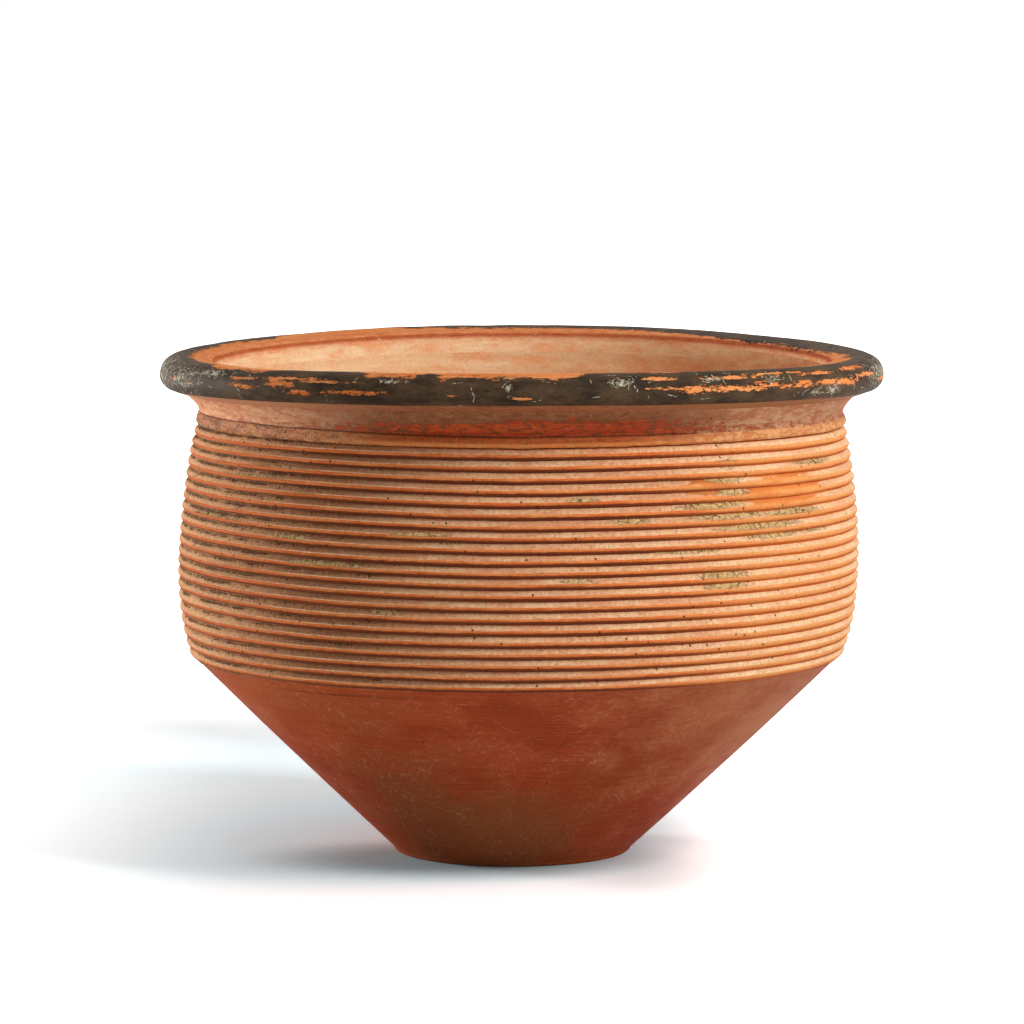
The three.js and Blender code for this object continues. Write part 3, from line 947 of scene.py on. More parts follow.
class Wiring:
    """Adds nodes to one tree. An input takes a plain value, a colour such as "#a0401c", or another
    node's output."""

    def __init__(self, tree):
        self.tree = tree

    def give(self, socket, value):
        if isinstance(value, bpy.types.NodeSocket):
            self.tree.links.new(value, socket)
        else:
            socket.default_value = linear(value) if isinstance(value, str) else value

    def node(self, kind, settings=None, inputs=()):
        """Inputs are (name or number, value) pairs."""
        made = self.tree.nodes.new(kind)
        for key, value in (settings or {}).items():
            setattr(made, key, value)
        for key, value in inputs:
            self.give(made.inputs[key], value)
        return made

    def maths(self, operation, first, second=0.0):
        inputs = ((0, first), (1, second))
        return self.node("ShaderNodeMath", {"operation": operation}, inputs).outputs[0]

    def times(self, first, *others):
        for other in others:
            first = self.maths("MULTIPLY", first, other)
        return first

    def plus(self, first, *others):
        for other in others:
            first = self.maths("ADD", first, other)
        return first

    def minus(self, first, *others):
        for other in others:
            first = self.maths("SUBTRACT", first, other)
        return first

    def most(self, first, second):
        return self.maths("MAXIMUM", first, second)

    def vectors(self, operation, first, second):
        inputs = ((0, first), (1, second))
        return self.node("ShaderNodeVectorMath", {"operation": operation}, inputs).outputs[0]

    def length(self, vector):
        made = self.node("ShaderNodeVectorMath", {"operation": "LENGTH"}, ((0, vector),))
        return made.outputs["Value"]

    def ramp(self, value, low, high, out_low=0.0, out_high=1.0):
        """Low to high becomes out_low to out_high, with smooth ends."""
        inputs = ((0, value), (1, low), (2, high), (3, out_low), (4, out_high))
        return self.node("ShaderNodeMapRange", {"interpolation_type": "SMOOTHSTEP"}, inputs).outputs[0]

    def mix(self, share, first, second, way="MIX"):
        settings = {"data_type": "RGBA", "blend_type": way, "clamp_factor": True}
        return self.node("ShaderNodeMix", settings, ((0, share), (6, first), (7, second))).outputs[2]

    def tones(self, value, low, high, first, second):
        """The first colour below low, the second above high."""
        return self.mix(self.ramp(value, low, high), first, second)

    def part(self, mask, strength, first, second):
        """The second colour where the mask is 1, at a given strength."""
        return self.mix(self.times(mask, strength), first, second)

    def scaled(self, colour, value):
        inputs = ((0, colour), ("Scale", value))
        return self.node("ShaderNodeVectorMath", {"operation": "SCALE"}, inputs).outputs[0]

    def stored(self, name):
        return self.node("ShaderNodeAttribute", {"attribute_name": name}).outputs["Fac"]

    def place(self, name):
        return self.node("ShaderNodeAttribute", {"attribute_name": name}).outputs["Vector"]

    def seen(self):
        """1 for what the camera sees, straight or in a shine or through a clear thing."""
        rays = self.node("ShaderNodeLightPath").outputs
        mirrored = self.maths("MAXIMUM", rays["Is Glossy Ray"], rays["Is Transmission Ray"])
        return self.maths("MAXIMUM", rays["Is Camera Ray"], mirrored)

    def noise(self, vector, along, up, detail=4.0, roughness=0.6):
        """Noise with so many waves to the metre along the wall and up it."""
        stretched = self.vectors("MULTIPLY", vector, (along, along, up))
        inputs = (("Vector", stretched), ("Scale", 1.0), ("Detail", detail), ("Roughness", roughness))
        return self.node("ShaderNodeTexNoise", None, inputs).outputs["Fac"]

    def ragged(self, mask, noise, strength, level=0.5, soft=0.04):
        """A soft mask with its edge torn by noise."""
        shifted = self.maths("MULTIPLY_ADD", self.maths("SUBTRACT", noise, 0.5), strength)
        self.give(shifted.node.inputs[2], mask)
        return self.ramp(shifted, level - soft, level + soft)


print("wiring helper ready")

# %% [markdown]
# ## Effects that several clays share
#
# Some effects come back on every part of the bowl, so each is a node group that is built once.
# Grain is the fine tooth of fired clay. Streaks are the level marks of wiping and burnishing:
# noise that is long along the wall and short up it. Specks are crumbs of soil. Pits are small
# round holes, and scratches are short thin lines, one in each chosen cell of a cell pattern and
# turned its own way. Root marks are the fine pale lines that roots etch into a buried pot.

# %% Node groups for the shared effects


def effect(name, inputs, output):
    """An empty group with a Vector input, named value inputs and one value output."""
    group = bpy.data.node_groups.new(name, "ShaderNodeTree")
    group.interface.new_socket("Vector", in_out="INPUT", socket_type="NodeSocketVector")
    for key, value in inputs.items():
        socket = group.interface.new_socket(key, in_out="INPUT", socket_type="NodeSocketFloat")
        socket.default_value = value
    group.interface.new_socket(output, in_out="OUTPUT", socket_type="NodeSocketFloat")
    entry = group.nodes.new("NodeGroupInput").outputs
    return Wiring(group), entry, group.nodes.new("NodeGroupOutput").inputs[0]


def make_grain():
    w, entry, out = effect("clay_grain", {}, "Height")
    coarse = w.noise(entry["Vector"], 750, 750, 5, 0.75)
    fine = w.noise(entry["Vector"], 2600, 2600, 2, 0.6)
    w.give(out, w.plus(w.times(coarse, 0.7), w.times(fine, 0.3)))
    return w.tree


def make_streaks():
    w, entry, out = effect("level_streaks", {}, "Value")
    broad = w.noise(entry["Vector"], 12, 320, 4, 0.65)
    fine = w.noise(entry["Vector"], 40, 1700, 3, 0.65)
    w.give(out, w.plus(w.times(broad, 0.55), w.times(fine, 0.45)))
    return w.tree


def make_specks():
    w, entry, out = effect("soil_specks", {"Amount": 0.5}, "Mask")
    spots = w.noise(entry["Vector"], 1100, 1700, 2, 0.6)
    drifts = w.noise(entry["Vector"], 110, 300, 3, 0.65)
    total = w.plus(w.times(spots, 0.75), w.times(drifts, 0.5))
    level = w.ramp(entry["Amount"], 0, 1, 0.88, 0.56)
    w.give(out, w.ramp(w.minus(total, level), 0, 0.02))
    return w.tree


def cells(w, entry):
    """A cell pattern on the wall: its outputs, and three random values for each cell."""
    inputs = (("Vector", entry["Vector"]), ("Scale", entry["Cells"]))
    cell = w.node("ShaderNodeTexVoronoi", {"voronoi_dimensions": "2D"}, inputs).outputs
    return cell, w.node("ShaderNodeSeparateColor", None, ((0, cell["Color"]),)).outputs


def make_pits():
    w, entry, out = effect("open_pits", {"Density": 0.2, "Cells": 200.0, "Radius": 0.0005}, "Mask")
    cell, random = cells(w, entry)
    away = w.maths("DIVIDE", cell["Distance"], entry["Cells"])
    shape = w.noise(entry["Vector"], 900, 900, 2, 0.6)
    radius = w.times(entry["Radius"], w.plus(shape, 0.5))
    hole = w.minus(1.0, w.ramp(w.maths("DIVIDE", away, radius), 0.7, 1.1))
    w.give(out, w.times(hole, w.maths("LESS_THAN", random[2], entry["Density"])))
    return w.tree


def make_scratches():
    sizes = {"Density": 0.3, "Cells": 60.0, "Length": 0.012, "Width": 0.0002, "Spread": 3.1}
    w, entry, out = effect("thin_scratches", sizes, "Mask")
    cell, random = cells(w, entry)
    offset = w.vectors("SUBTRACT", entry["Vector"], cell["Position"])
    turn = w.times(w.minus(random[0], 0.5), entry["Spread"])
    inputs = (("Vector", offset), ("Angle", turn))
    turned = w.node("ShaderNodeVectorRotate", {"rotation_type": "Z_AXIS"}, inputs)
    parts = w.node("ShaderNodeSeparateXYZ", None, ((0, turned.outputs[0]),)).outputs
    bend = w.times(w.times(parts[0], parts[0]), w.minus(random[1], 0.5))
    across = w.maths("ABSOLUTE", w.plus(parts[1], w.times(bend, 120.0)))
    line = w.minus(1.0, w.ramp(w.maths("DIVIDE", across, entry["Width"]), 0.4, 1.0))
    along = w.maths("DIVIDE", w.maths("ABSOLUTE", parts[0]), entry["Length"])
    ends = w.minus(1.0, w.ramp(along, 0.3, 0.5))
    chosen = w.maths("LESS_THAN", random[2], entry["Density"])
    broken = w.ramp(w.noise(entry["Vector"], 700, 700, 2, 0.6), 0.35, 0.55)
    mask = w.times(w.times(line, ends), w.times(chosen, broken))
    w.give(out, mask)
    return w.tree


def make_root_marks():
    w, entry, out = effect("root_marks", {"Amount": 0.5}, "Mask")
    inputs = (("Vector", entry["Vector"]), ("Scale", 130.0))
    bends = w.node("ShaderNodeTexNoise", None, inputs).outputs["Color"]
    moved = w.vectors("ADD", entry["Vector"], w.scaled(bends, 0.012))
    settings = {"feature": "DISTANCE_TO_EDGE", "voronoi_dimensions": "2D"}
    edges = w.node("ShaderNodeTexVoronoi", settings, (("Vector", moved), ("Scale", 190.0)))
    line = w.ramp(edges.outputs["Distance"], 0.015, 0.05, 1, 0)
    patchy = w.noise(entry["Vector"], 330, 330, 3, 0.7)
    there = w.ramp(w.minus(patchy, w.ramp(entry["Amount"], 0, 1, 0.75, 0.36)), 0, 0.06)
    w.give(out, w.times(line, there))
    return w.tree


EFFECTS = {
    "grain": make_grain(),
    "streaks": make_streaks(),
    "specks": make_specks(),
    "pits": make_pits(),
    "scratches": make_scratches(),
    "roots": make_root_marks(),
}
print("effects:", ", ".join(group.name for group in EFFECTS.values()))

# %% A clay to start each material from


def use(w, effect_name, vector, **values):
    inputs = (("Vector", vector), *values.items())
    return w.node("ShaderNodeGroup", {"node_tree": EFFECTS[effect_name]}, inputs).outputs[0]


def clay(name, shine):
    """The wiring of a material with only a Principled shader, the two places on the wall, and the
    grain and the streaks that every clay has."""
    material = bpy.data.materials.new(name)
    material.use_nodes = True
    w = Wiring(material.node_tree)
    w.material = material
    w.shader = material.node_tree.nodes["Principled BSDF"]
    w.shader.inputs["Specular IOR Level"].default_value = shine
    turned = w.place("turned")
    return w, turned, w.place("wall"), use(w, "grain", turned), use(w, "streaks", turned)


def finish_clay(w, colour, roughness, height, distance):
    bump = w.node("ShaderNodeBump", None, (("Height", height), ("Distance", distance)))
    for name, value in (("Base Color", colour), ("Roughness", roughness), ("Normal", bump.outputs[0])):
        w.give(w.shader.inputs[name], value)
    return w.material


print("clays share one start and one finish")

# %% [markdown]
# ## Fluted clay
#
# The belly is matt. A pale buff film lies on the upper faces of the ribs. Below it the clay is
# bare: bright orange on the crests, where hands and time have rubbed it, and darker towards the
# grooves as painted shade. On the right, where the key light falls, the undersides, the crests and
# the film are painted lighter. At the middle left the upper faces carry a painted shade, with a
# painted highlight along the crests. On the left the film is duskier and full of dark crumbs and
# pores, and khaki soil is caked on the faces in places.

# %% The fluted belly


def fluted_clay():
    w, turned, wall, grain, streaks = clay("fluted_clay", 0.1)
    torn = w.noise(turned, 230, 1000, 5, 0.75)
    cloud = w.noise(turned, 40, 130, 4, 0.6)
    mottle = w.noise(turned, 420, 800, 4, 0.75)
    lumps = w.noise(turned, 650, 900, 5, 0.8)
    face, crest, groove = w.stored("face"), w.stored("crest"), w.stored("groove")
    # sunny is the key-lit right side: there the undersides, the orange, the film and the grooves are
    # painted lighter
    dusky, sunny = w.stored("smoke"), w.stored("lit_side_and_tone")
    # painted shade: away from the lit right side the undersides are dull brown
    shaded_underside = w.tones(streaks, 0.35, 0.65, "#74341a", "#96502c")
    warm = w.tones(streaks, 0.35, 0.65, "#cf6f34", "#ea9450")
    under = w.tones(sunny, 0.1, 0.75, shaded_underside, warm)
    orange = w.tones(cloud, 0.3, 0.7, "#dc6a30", "#ee9050")
    orange = w.mix(w.ramp(dusky, 0.2, 1.0, 0, 0.8), orange, "#c8683a")
    orange = w.mix(w.ramp(sunny, 0.2, 0.9, 0, 0.8), orange, "#eaa262")
    upper_left = w.times(dusky, w.ramp(w.stored("level"), 0.13, 0.182, 0.15, 1.0))
    widened = w.plus(crest, w.plus(w.times(upper_left, 0.9), w.times(sunny, 0.35)))
    colour = w.mix(w.ragged(widened, torn, 1.3, 0.66, 0.24), under, orange)
    shade = w.plus(w.times(mottle, 0.5), w.times(cloud, 0.5))
    pale = w.tones(shade, 0.42, 0.58, "#eabb8e", "#db986e")
    pale = w.tones(sunny, 0.1, 0.8, pale, w.tones(shade, 0.42, 0.6, "#ebc79a", "#dfac82"))
    pale = w.mix(w.ramp(dusky, 0.1, 0.8, 0, 0.9), pale, w.tones(lumps, 0.38, 0.62, "#c89262", "#ecb88a"))
    # painted shade on the upper faces at the middle left, where the key light grazes, and a painted
    # highlight, a cream line, along the crests there
    shaded = w.times(w.stored("shade"), w.ramp(crest, 0.25, 0.85, 0.9, 0.0))
    lit = w.times(w.stored("shade"), w.ramp(dusky, 0.35, 0.8, 1.0, 0.0))
    painted_highlight = w.times(w.ramp(face, 0.02, 0.2), w.ramp(crest, 0.6, 0.8), lit)
    pale = w.part(painted_highlight, 0.85, pale, "#ffe2b8")
    pale = w.mix(shaded, pale, w.tones(lumps, 0.4, 0.6, "#96603e", "#b47e58"))
    pale = w.scaled(pale, w.ramp(grain, 0.36, 0.52, 0.86, 1.03))
    bare = w.ragged(w.stored("bare"), torn, 1.2, 0.5, 0.25)
    smeared = w.times(dusky, w.ramp(crest, -0.4, 0.4, 0.9, 0))
    wandering = w.times(dusky, w.minus(w.stored("film"), 0.45))
    reach = w.minus(w.plus(face, smeared, wandering), w.times(bare, 1.6), w.times(sunny, 0.22))
    cover = w.ragged(reach, torn, 1.3, 0.12, 0.2)
    cover = w.times(cover, w.ramp(w.stored("film"), 0.1, 0.6, 0.75, 0.97))
    colour = w.mix(cover, colour, pale)
    colour = w.mix(w.times(bare, w.ramp(crest, -0.6, 0.7, 0.25, 0.85)), colour,
                   w.tones(cloud, 0.3, 0.7, "#df8040", "#eea45e"))
    # painted shade in the grooves, kept narrow at the sides and red-orange on the lit right
    sides = w.most(dusky, sunny)
    narrowed = w.minus(groove, w.ramp(sides, 0.1, 0.8, 0, 0.5))
    painted_groove_shade = w.times(w.ramp(narrowed, -0.15, 0.6), w.ramp(face, -0.1, 0.45, 0.8, 0.1),
                   w.ramp(dusky, 0.3, 0.9, 1.0, 0.6))
    groove_shade_colour = w.tones(dusky, 0.1, 0.8, "#6c341e", "#74492a")
    colour = w.mix(painted_groove_shade, colour, w.tones(sunny, 0.1, 0.8, groove_shade_colour, "#b04c1c"))
    caked = w.ragged(w.stored("dust"), lumps, 2.4, 0.45, 0.05)
    caked = w.times(caked, w.ramp(face, -0.2, 0.15))
    khaki = w.tones(lumps, 0.4, 0.6, "#a8814a", "#dfbd84")
    colour = w.part(caked, 0.92, colour, khaki)
    cracks = w.times(use(w, "roots", wall, Amount=0.9), caked)
    colour = w.part(cracks, 0.75, colour, "#4e3618")
    settled = w.ramp(groove, -0.2, 0.9, 0.0, 0.2)
    clustered = w.times(dusky, w.ramp(groove, 0.1, 0.8, 0.08, 0.66), w.ramp(cloud, 0.38, 0.6, 0.3, 1.0))
    amount = w.plus(w.stored("soil"), w.times(caked, 0.12), settled, clustered)
    crumbs = use(w, "specks", turned, Amount=amount)
    crumbs = w.times(crumbs, w.ramp(face, -0.7, 0.1, 0.25, 1.0))
    colour = w.part(crumbs, 0.85, colour, "#523418")
    holes = w.ramp(w.stored("soil"), 0, 0.8, 0.06, 0.3)
    holes = use(w, "pits", wall, Density=holes, Cells=230.0, Radius=0.0005)
    colour = w.part(holes, 0.8, colour, "#3a2110")
    colour = w.scaled(colour, w.ramp(grain, 0.35, 0.65, 0.86, 1.1))
    height = w.plus(grain, w.times(streaks, 0.5), w.times(caked, w.plus(lumps, 0.8)))
    height = w.minus(height, w.plus(crumbs, w.times(holes, 1.6)), cracks)
    return finish_clay(w, colour, 0.9, height, 0.00034)


# %% [markdown]
# ## Burnished clay
#
# The cone was rubbed with a pebble while leather hard, so it is smoother and a little glossy,
# with fine level streaks. It is a deep orange-red that turns darker brown low at the front, with a
# grey-pink bloom at the upper right, partly dust and partly a painted sheen where the key light
# falls. A dark line runs a little below the lowest rib at the front left. Pale scuffs and
# scratches cross it at all angles.

# %% The burnished cone


def burnished_clay():
    w, turned, wall, grain, streaks = clay("burnished_clay", 0.03)
    cloud = w.noise(turned, 26, 60, 5, 0.65)
    scuffs = w.noise(turned, 240, 620, 5, 0.78)
    rubs = w.noise(turned, 26, 1900, 3, 0.6)
    colour = w.mix(w.ramp(w.plus(w.times(rubs, 0.6), w.times(cloud, 0.4)), 0.38, 0.62),
                   "#8e3819", "#a54628")
    colour = w.mix(w.ramp(cloud, 0.45, 0.7, 0, 0.5), colour, "#a54e2c")
    fresh = w.times(w.stored("bare"), w.ramp(cloud, 0.3, 0.6, 0.5, 1.0))
    colour = w.part(fresh, 0.9, colour, "#b8582c")
    # darker brown low at the front
    darker_low_front = w.ramp(w.plus(w.stored("smoke"), cloud), 0.4, 1.5, 0, 0.85)
    colour = w.mix(darker_low_front, colour, "#7c4928")
    # dust, and a painted sheen where the key light falls
    bloom_and_sheen = w.plus(w.stored("dust"), w.plus(cloud, scuffs))
    colour = w.mix(w.ramp(bloom_and_sheen, 1.2, 2.2, 0, 0.75), colour, "#bb7850")
    # a dark line a little below the lowest rib, at the front left
    dark_line_below_ribs = w.ragged(w.stored("groove"), scuffs, 1.2, 0.55, 0.3)
    colour = w.part(dark_line_below_ribs, 0.75, colour, "#6a2c18")
    rubbed = w.times(w.ramp(scuffs, 0.54, 0.66), w.ramp(cloud, 0.42, 0.6))
    colour = w.part(rubbed, 0.4, colour, "#c68c6c")
    crumbs = use(w, "specks", turned, Amount=0.12)
    colour = w.part(crumbs, 0.6, colour, "#3f2416")
    long_lines = use(w, "scratches", wall, Density=0.4, Cells=45.0, Length=0.02, Width=0.00018)
    short_lines = use(w, "scratches", wall, Density=0.4, Cells=120.0, Length=0.008, Width=0.00014)
    more_lines = use(w, "scratches", w.vectors("ADD", wall, (0.31, 0.17, 0)), Density=0.5, Cells=90.0,
                     Length=0.011, Width=0.00012, Spread=2.0)
    lines = w.most(w.most(long_lines, short_lines), more_lines)
    lines = w.times(lines, w.ramp(cloud, 0.3, 0.6, 0.35, 1.0))
    colour = w.part(lines, 0.5, colour, "#d09a78")
    pits = use(w, "pits", wall, Density=0.06, Cells=120.0, Radius=0.0006)
    colour = w.part(pits, 0.7, colour, "#4a2412")
    colour = w.scaled(colour, w.ramp(grain, 0.35, 0.65, 0.9, 1.07))
    height = w.plus(w.times(grain, 0.6), streaks)
    height = w.minus(height, w.plus(crumbs, w.times(lines, 0.6)), pits)
    return finish_clay(w, colour, w.ramp(streaks, 0.35, 0.65, 0.52, 0.66), height, 0.00014)


# %% [markdown]
# ## Neck clay
#
# The neck has the same red slip as the cone, under a brown dust. Where the dust has gone, the
# slip shows as dark glossy red, mostly low down at the front. The sides are dustier and paler.
# The bead at the foot of the neck is orange in front and at the right, and dusty at the left,
# where crumbs lie on it. Painted light makes it paler at the sides and lighter along its lower
# edge, below the rim's shadow.

# %% The dusty neck


def neck_clay():
    w, turned, wall, grain, streaks = clay("neck_clay", 0.15)
    torn = w.noise(turned, 200, 560, 6, 0.78)
    cloud = w.noise(turned, 90, 260, 4, 0.65)
    level = w.stored("level")
    sides = w.stored("film")
    dusty = w.tones(torn, 0.35, 0.65, "#7e462a", "#9c6742")
    side_dust = w.mix(w.ramp(w.times(w.plus(cloud, torn), 0.5), 0.42, 0.58),
                      "#d4a27a", "#bc7450")
    dusty = w.tones(sides, 0.25, 0.85, dusty, side_dust)
    dusty = w.scaled(dusty, w.ramp(w.stored("smoke"), 0.1, 0.9, 1.0, 1.22))
    red = w.tones(streaks, 0.35, 0.65, "#a42f0a", "#c85018")
    gone = w.ragged(w.stored("bare"), torn, 3.8, 0.78, 0.08)
    colour = w.mix(w.times(gone, w.ramp(sides, 0.2, 0.9, 0.92, 0.6)), dusty, red)
    below = w.stored("crest")
    bead = w.ragged(below, torn, 0.8, 0.6, 0.2)
    orange = w.tones(streaks, 0.35, 0.65, "#a84a20", "#c86a34")
    # painted light: the bead is paler at the sides and lighter along its lower edge, below the rim's
    # shadow
    lit = w.tones(torn, 0.42, 0.6, "#eeb27a", "#dd8646")
    orange = w.mix(w.ramp(level, (NECK_BASE + 1.2) * MM, (NECK_BASE + 3.0) * MM, 0.85, 0), orange,
                   w.tones(torn, 0.42, 0.6, "#f0a05a", "#e07c3a"))
    left_dust = w.tones(torn, 0.4, 0.6, "#cf9868", "#c8703e")
    orange = w.mix(w.ramp(sides, 0.2, 0.8, 0, 0.85), orange, lit)
    orange = w.mix(w.ramp(w.stored("smoke"), 0.1, 0.7, 0, 0.95), orange, left_dust)
    colour = w.mix(bead, colour, orange)
    seam = w.ragged(w.stored("groove"), torn, 1.6, 0.6, 0.15)
    colour = w.part(seam, 0.75, colour, "#4a2a16")
    crumbs = use(w, "specks", turned, Amount=w.stored("soil"))
    colour = w.part(crumbs, 0.7, colour, "#5d3d20")
    lines = use(w, "scratches", wall, Density=0.6, Cells=140.0, Length=0.008, Width=0.00015)
    roots = use(w, "roots", wall, Amount=0.45)
    marks = w.times(w.most(lines, roots), 0.5)
    colour = w.mix(marks, colour, "#c49c78")
    colour = w.scaled(colour, w.ramp(grain, 0.35, 0.65, 0.86, 1.1))
    height = w.plus(grain, w.times(streaks, 0.6))
    height = w.minus(height, w.plus(crumbs, w.times(gone, 0.5)))
    return finish_clay(w, colour, w.ramp(gone, 0, 1, 0.82, 0.5), height, 0.00022)


# %% [markdown]
# ## Painted rim
#
# A matt brown-black paint lies over the orange clay in one thin coat, down to the lip's lower
# edge. Where it has come off, the break is sharp and ragged and runs level, as the brush did.
# Inside the crest the clay is plain orange, with a painted shade, a dark red band, under the
# ledge, and below the ledge it fades to the inner clay. The bare underside below the paint is
# painted lighter at the left, where light reaches under the lip. Cream lime and fine root marks
# cover both ends.

# %% The painted rim


def painted_rim():
    w, turned, wall, grain, streaks = clay("painted_rim", 0.06)
    flakes = w.noise(turned, 110, 420, 7, 0.8)
    fine = w.noise(turned, 500, 1600, 4, 0.7)
    chips = w.noise(turned, 330, 620, 5, 0.8)
    torn = w.plus(w.times(flakes, 0.5), w.times(fine, 0.2), w.times(chips, 0.3))
    lost = w.ragged(w.stored("bare"), torn, 4.6, 0.74, 0.03)
    cloud = w.noise(turned, 60, 140, 5, 0.7)
    paint = w.tones(cloud, 0.35, 0.65, "#33281e", "#584431")
    under = w.tones(streaks, 0.35, 0.65, "#d96f35", "#f2a061")
    inner_slope = w.tones(flakes, 0.4, 0.6, "#d27040", "#e79a68")
    under = w.part(w.stored("film"), 0.8, under, inner_slope)
    # painted shade: a dark red band under the ledge
    under = w.part(w.stored("groove"), 0.7, under, "#9c4020")
    colour = w.mix(lost, paint, under)
    pale = w.tones(cloud, 0.4, 0.6, "#f0caa0", "#eca678")
    colour = w.part(w.stored("crest"), 0.9, colour, pale)
    unpainted = w.ragged(w.stored("smoke"), chips, 0.9, 0.5, 0.06)
    dusty = w.tones(flakes, 0.4, 0.6, "#8a5236", "#a66a44")
    # painted light: the bare underside is lighter at the left, where the left lamp reaches under the lip
    dusty = w.tones(w.stored("lit_side_and_tone"), 0.1, 0.9, dusty, "#c98d66")
    colour = w.mix(unpainted, colour, w.tones(w.stored("soil"), 0.2, 0.9, dusty, "#9c6844"))
    crust = w.stored("dust")
    lime = w.ragged(crust, w.noise(turned, 260, 420, 6, 0.8), 2.4, 0.95, 0.06)
    roots = use(w, "roots", wall, Amount=w.ramp(crust, 0, 1.0, 0.2, 0.97))
    density = w.ramp(crust, 0, 0.8, 0.05, 0.95)
    lines = use(w, "scratches", wall, Density=density, Cells=260.0, Length=0.005, Width=0.00026)
    drops = use(w, "pits", wall, Density=w.ramp(crust, 0.1, 1.0, 0.0, 0.6), Cells=420.0, Radius=0.0003)
    marks = w.most(w.most(lines, roots), w.most(drops, lime))
    marks = w.times(marks, w.minus(1.0, unpainted), w.ramp(fine, 0.3, 0.6, 0.45, 0.85))
    colour = w.mix(marks, colour, w.tones(fine, 0.35, 0.65, "#a09275", "#e9dfc6"))
    colour = w.scaled(colour, w.ramp(grain, 0.35, 0.65, 0.84, 1.12))
    height = w.plus(w.minus(w.times(grain, 0.8), lost), w.times(marks, 0.6))
    return finish_clay(w, colour, w.ramp(lost, 0, 1, 0.62, 0.85), height, 0.00022)


# %% [markdown]
# ## Inner clay
#
# The inside is pale buff with a pink cast, wiped in level streaks. Orange patches show through
# it, and grey crumbs are scattered over it. Under the rim at the right a painted shadow makes it
# dark orange.

# %% The inside


def inner_clay():
    w, turned, wall, grain, streaks = clay("inner_clay", 0.1)
    cloud = w.noise(turned, 45, 130, 6, 0.72)
    colour = w.tones(streaks, 0.35, 0.65, "#f2c696", "#fadbb0")
    warm = w.plus(cloud, w.times(w.stored("lit_side_and_tone"), 0.1))
    colour = w.mix(w.ramp(warm, 0.38, 0.68, 0, 0.8), colour, "#f0a068")
    # painted shadow: the rim's shadow on the inner wall at the right, painted dark orange
    through = w.times(w.stored("shade"), w.ramp(cloud, 0.25, 0.6, 0.55, 1.0))
    colour = w.part(through, 0.75, colour, "#b4693c")
    crumbs = use(w, "specks", turned, Amount=0.3)
    colour = w.part(crumbs, 0.4, colour, "#8a6846")
    colour = w.scaled(colour, w.ramp(grain, 0.35, 0.65, 0.88, 1.06))
    height = w.plus(grain, w.times(streaks, 0.8))
    return finish_clay(w, colour, 0.9, height, 0.00024)


INNER = inner_clay()
CLAYS = {
    "fluted_clay": fluted_clay(),
    "burnished_clay": burnished_clay(),
    "neck_clay": neck_clay(),
    "painted_rim": painted_rim(),
}
for node, piece in pieces.items():
    piece.data.materials.append(CLAYS[slots_by_node[node]])
    piece.data.materials.append(INNER)
print("clays:", ", ".join([*CLAYS, INNER.name]))

# %% [markdown]
# ## Floor, light and camera
#
# The bowl stands on a plain white floor. The key is a soft box high on the right, which throws
# the rim's shadow over the neck and the bowl's own shadow to the left. A small low box from the
# back left catches the left edge, and an even sky keeps the shaded side readable. What the camera
# sees of the floor is lightened: a cool colour takes the clay's orange cast out of the shadow,
# an oval of painted shadow darkens it at the foot, and far out the floor runs to plain white.

# %% The floor
FLOOR_REACH = 6.0
GREY = 0.85
SHADOW_CORE = ((-0.19, 0.08), (0.25, 0.25))
# an oval of painted shadow on the floor at the foot, as the camera sees it, and how dark it gets
CONTACT_SHADOW = ((-0.025, -0.03), (0.115, 0.07))
CONTACT_SHADOW_DARK = 0.42
LEFT_GLOW = 0.34


def even(level):
    return (level, level, level, 1)


def oval(w, where, shape):
    """Distance from an oval's middle, counted in its half sizes."""
    (x, y), (half_x, half_y) = shape
    moved = w.vectors("SUBTRACT", where, (x, y, 0))
    scaled = w.vectors("MULTIPLY", moved, (1 / half_x, 1 / half_y, 0))
    return w.length(scaled)


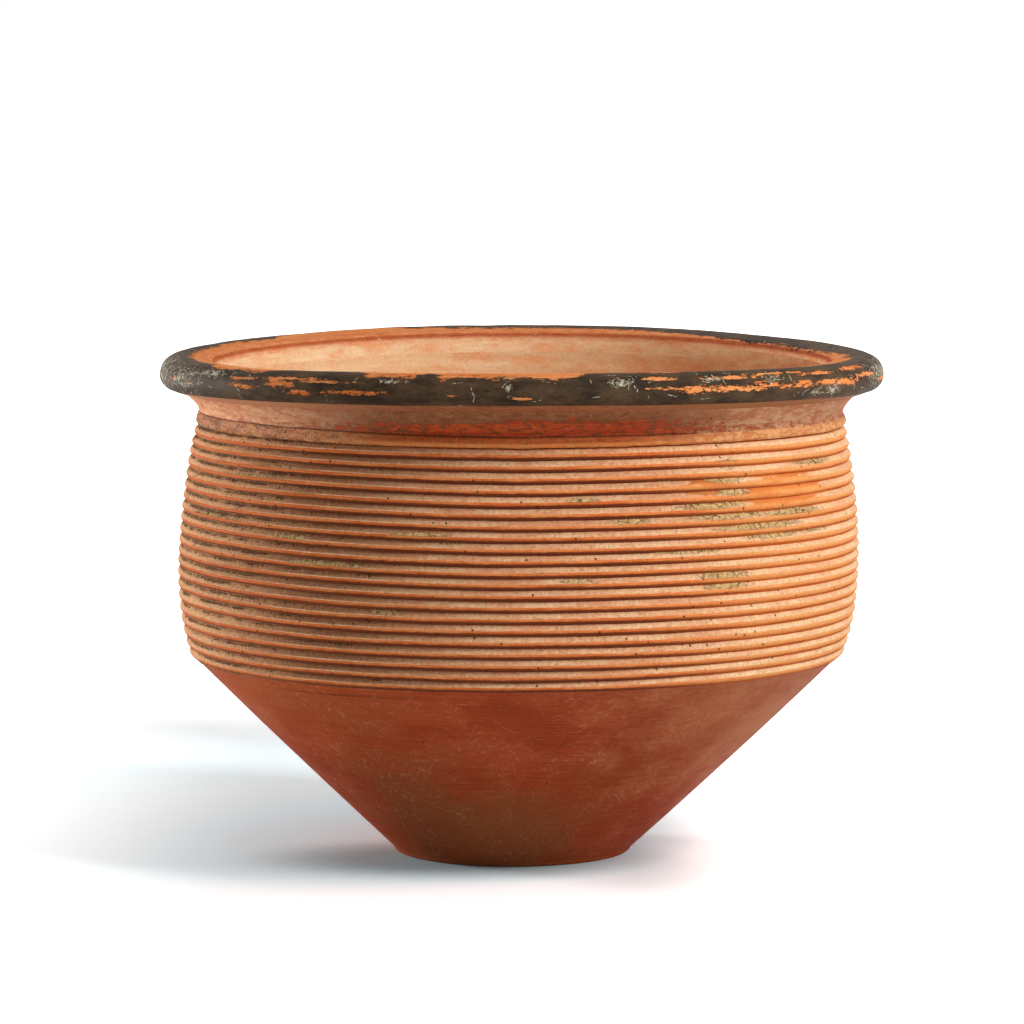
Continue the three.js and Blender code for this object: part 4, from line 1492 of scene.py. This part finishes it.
def make_floor():
    corners = [(x * FLOOR_REACH, y * FLOOR_REACH, 0) for x, y in ((-1, -1), (1, -1), (1, 1), (-1, 1))]
    mesh = bpy.data.meshes.new("floor")
    mesh.from_pydata(corners, [], [(0, 1, 2, 3)])
    floor = bpy.data.objects.new("floor", mesh)
    bpy.context.scene.collection.objects.link(floor)
    material = bpy.data.materials.new("white_floor")
    material.use_nodes = True
    w = Wiring(material.node_tree)
    tree = material.node_tree
    tree.nodes.remove(tree.nodes["Principled BSDF"])
    seen = w.seen()
    where = w.node("ShaderNodeTexCoord").outputs["Object"]
    away = w.length(where)
    across, back = w.node("ShaderNodeSeparateXYZ", None, ((0, where),)).outputs[:2]
    core = w.ramp(oval(w, where, SHADOW_CORE), 0.7, 1.25, 1.0, 0.0)
    front = w.ramp(back, -0.13, -0.05, 1.0, 0.0)
    right = w.ramp(across, 0.045, 0.11)
    tint = w.tones(away, 0.1, 0.22, (0.36, 0.85, 0.99, 1), (0.58, 0.78, 0.82, 1))
    tint = w.tones(back, 0.3, 0.5, tint, even(0.8))
    cool = w.mix(core, (0.03, 0.05, 0.06, 1), tint)
    cool = w.mix(front, cool, even(0.4))
    cool = w.mix(right, cool, even(1))
    # painted shadow: what the camera sees of the floor is darker in an oval at the foot
    painted_contact_shadow = w.ramp(oval(w, where, CONTACT_SHADOW), 0.35, 0.95, CONTACT_SHADOW_DARK, 1.0)
    plain = w.mix(seen, even(GREY), w.mix(painted_contact_shadow, even(0.1), even(GREY)))
    extra = w.mix(seen, even(0), w.scaled(cool, painted_contact_shadow))
    white = w.node("ShaderNodeBsdfDiffuse", None, (("Color", plain),))
    lift = w.node("ShaderNodeBsdfDiffuse", None, (("Color", extra),))
    outer = w.most(w.ramp(across, -0.25, -0.11, LEFT_GLOW, 0.0), w.ramp(back, 0.3, 0.5, 0.0, LEFT_GLOW))
    behind = w.times(w.ramp(back, 0.22, 0.36, 0.0, LEFT_GLOW), w.ramp(across, -0.13, -0.06))
    fade = w.plus(w.ramp(away, 0.3, 1.4), w.most(outer, behind))
    glow = w.times(fade, seen)
    far = w.node("ShaderNodeEmission", None, (("Strength", glow),))
    near_part = w.node("ShaderNodeAddShader", None, ((0, white.outputs[0]), (1, lift.outputs[0])))
    both = w.node("ShaderNodeAddShader", None, ((0, near_part.outputs[0]), (1, far.outputs[0])))
    w.give(tree.nodes["Material Output"].inputs["Surface"], both.outputs[0])
    mesh.materials.append(material)
    floor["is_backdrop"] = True
    return floor


make_floor()
print(f"floor {2 * FLOOR_REACH:.0f} m across")

# %% The lights
KEY_TURN = 59.0
KEY_RISE = 38.0
KEY_DISTANCE = 2.4
KEY_SIZE = 1.0
KEY_POWER = 46.0
FILL_TURN = -118.0
FILL_RISE = 5.5
FILL_DISTANCE = 2.6
FILL_SIZE = 0.6
FILL_POWER = 58.0
AIM = Vector((0, 0, 0.12))
SKY_STRENGTH = 0.32


def soft_box(name, turn, rise, distance, size, power):
    """A square lamp that looks at the bowl from a direction given by two angles in degrees."""
    lamp = bpy.data.lights.new(name, "AREA")
    lamp.shape = "SQUARE"
    lamp.size = size
    lamp.energy = power
    box = bpy.data.objects.new(name, lamp)
    a, e = math.radians(turn), math.radians(rise)
    away = Vector((math.sin(a) * math.cos(e), -math.cos(a) * math.cos(e), math.sin(e)))
    box.location = away * distance + AIM
    box.rotation_euler = away.to_track_quat("Z", "Y").to_euler()
    bpy.context.scene.collection.objects.link(box)
    return box


soft_box("key", KEY_TURN, KEY_RISE, KEY_DISTANCE, KEY_SIZE, KEY_POWER)
soft_box("left_fill", FILL_TURN, FILL_RISE, FILL_DISTANCE, FILL_SIZE, FILL_POWER)

world = bpy.data.worlds.new("studio")
bpy.context.scene.world = world
world.use_nodes = True
w = Wiring(world.node_tree)
seen = w.seen()
sky = world.node_tree.nodes["Background"]
sky.inputs["Color"].default_value = (1, 1, 1, 1)
w.give(sky.inputs["Strength"], w.ramp(seen, 0, 1, SKY_STRENGTH, 1.0))
print("two soft boxes and an even sky")

# %% The camera
IMAGE = 1024
FOCAL_PIXELS = 4987.2
CAMERA_DISTANCE = 2.2
CAMERA_HEIGHT = 0.3642
CAMERA_SIDE = -0.0043
PITCH = 5.551

camera = bpy.data.cameras.new("camera")
camera.sensor_width = 36
camera.lens = FOCAL_PIXELS / IMAGE * camera.sensor_width
eye = bpy.data.objects.new("camera", camera)
pitch = math.radians(PITCH)
eye.location = (CAMERA_SIDE, -CAMERA_DISTANCE, CAMERA_HEIGHT)
eye.rotation_euler = (math.pi / 2 - pitch, 0, 0)
bpy.context.scene.collection.objects.link(eye)
bpy.context.scene.camera = eye
bpy.context.scene.view_settings.view_transform = "Standard"
print(f"lens {camera.lens:.1f} mm, pitched down {math.degrees(pitch):.2f} degrees")

# %% The visual box, and the end
low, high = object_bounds()
print("visual box in metres:", [round(v, 4) for v in (*low, *high)])
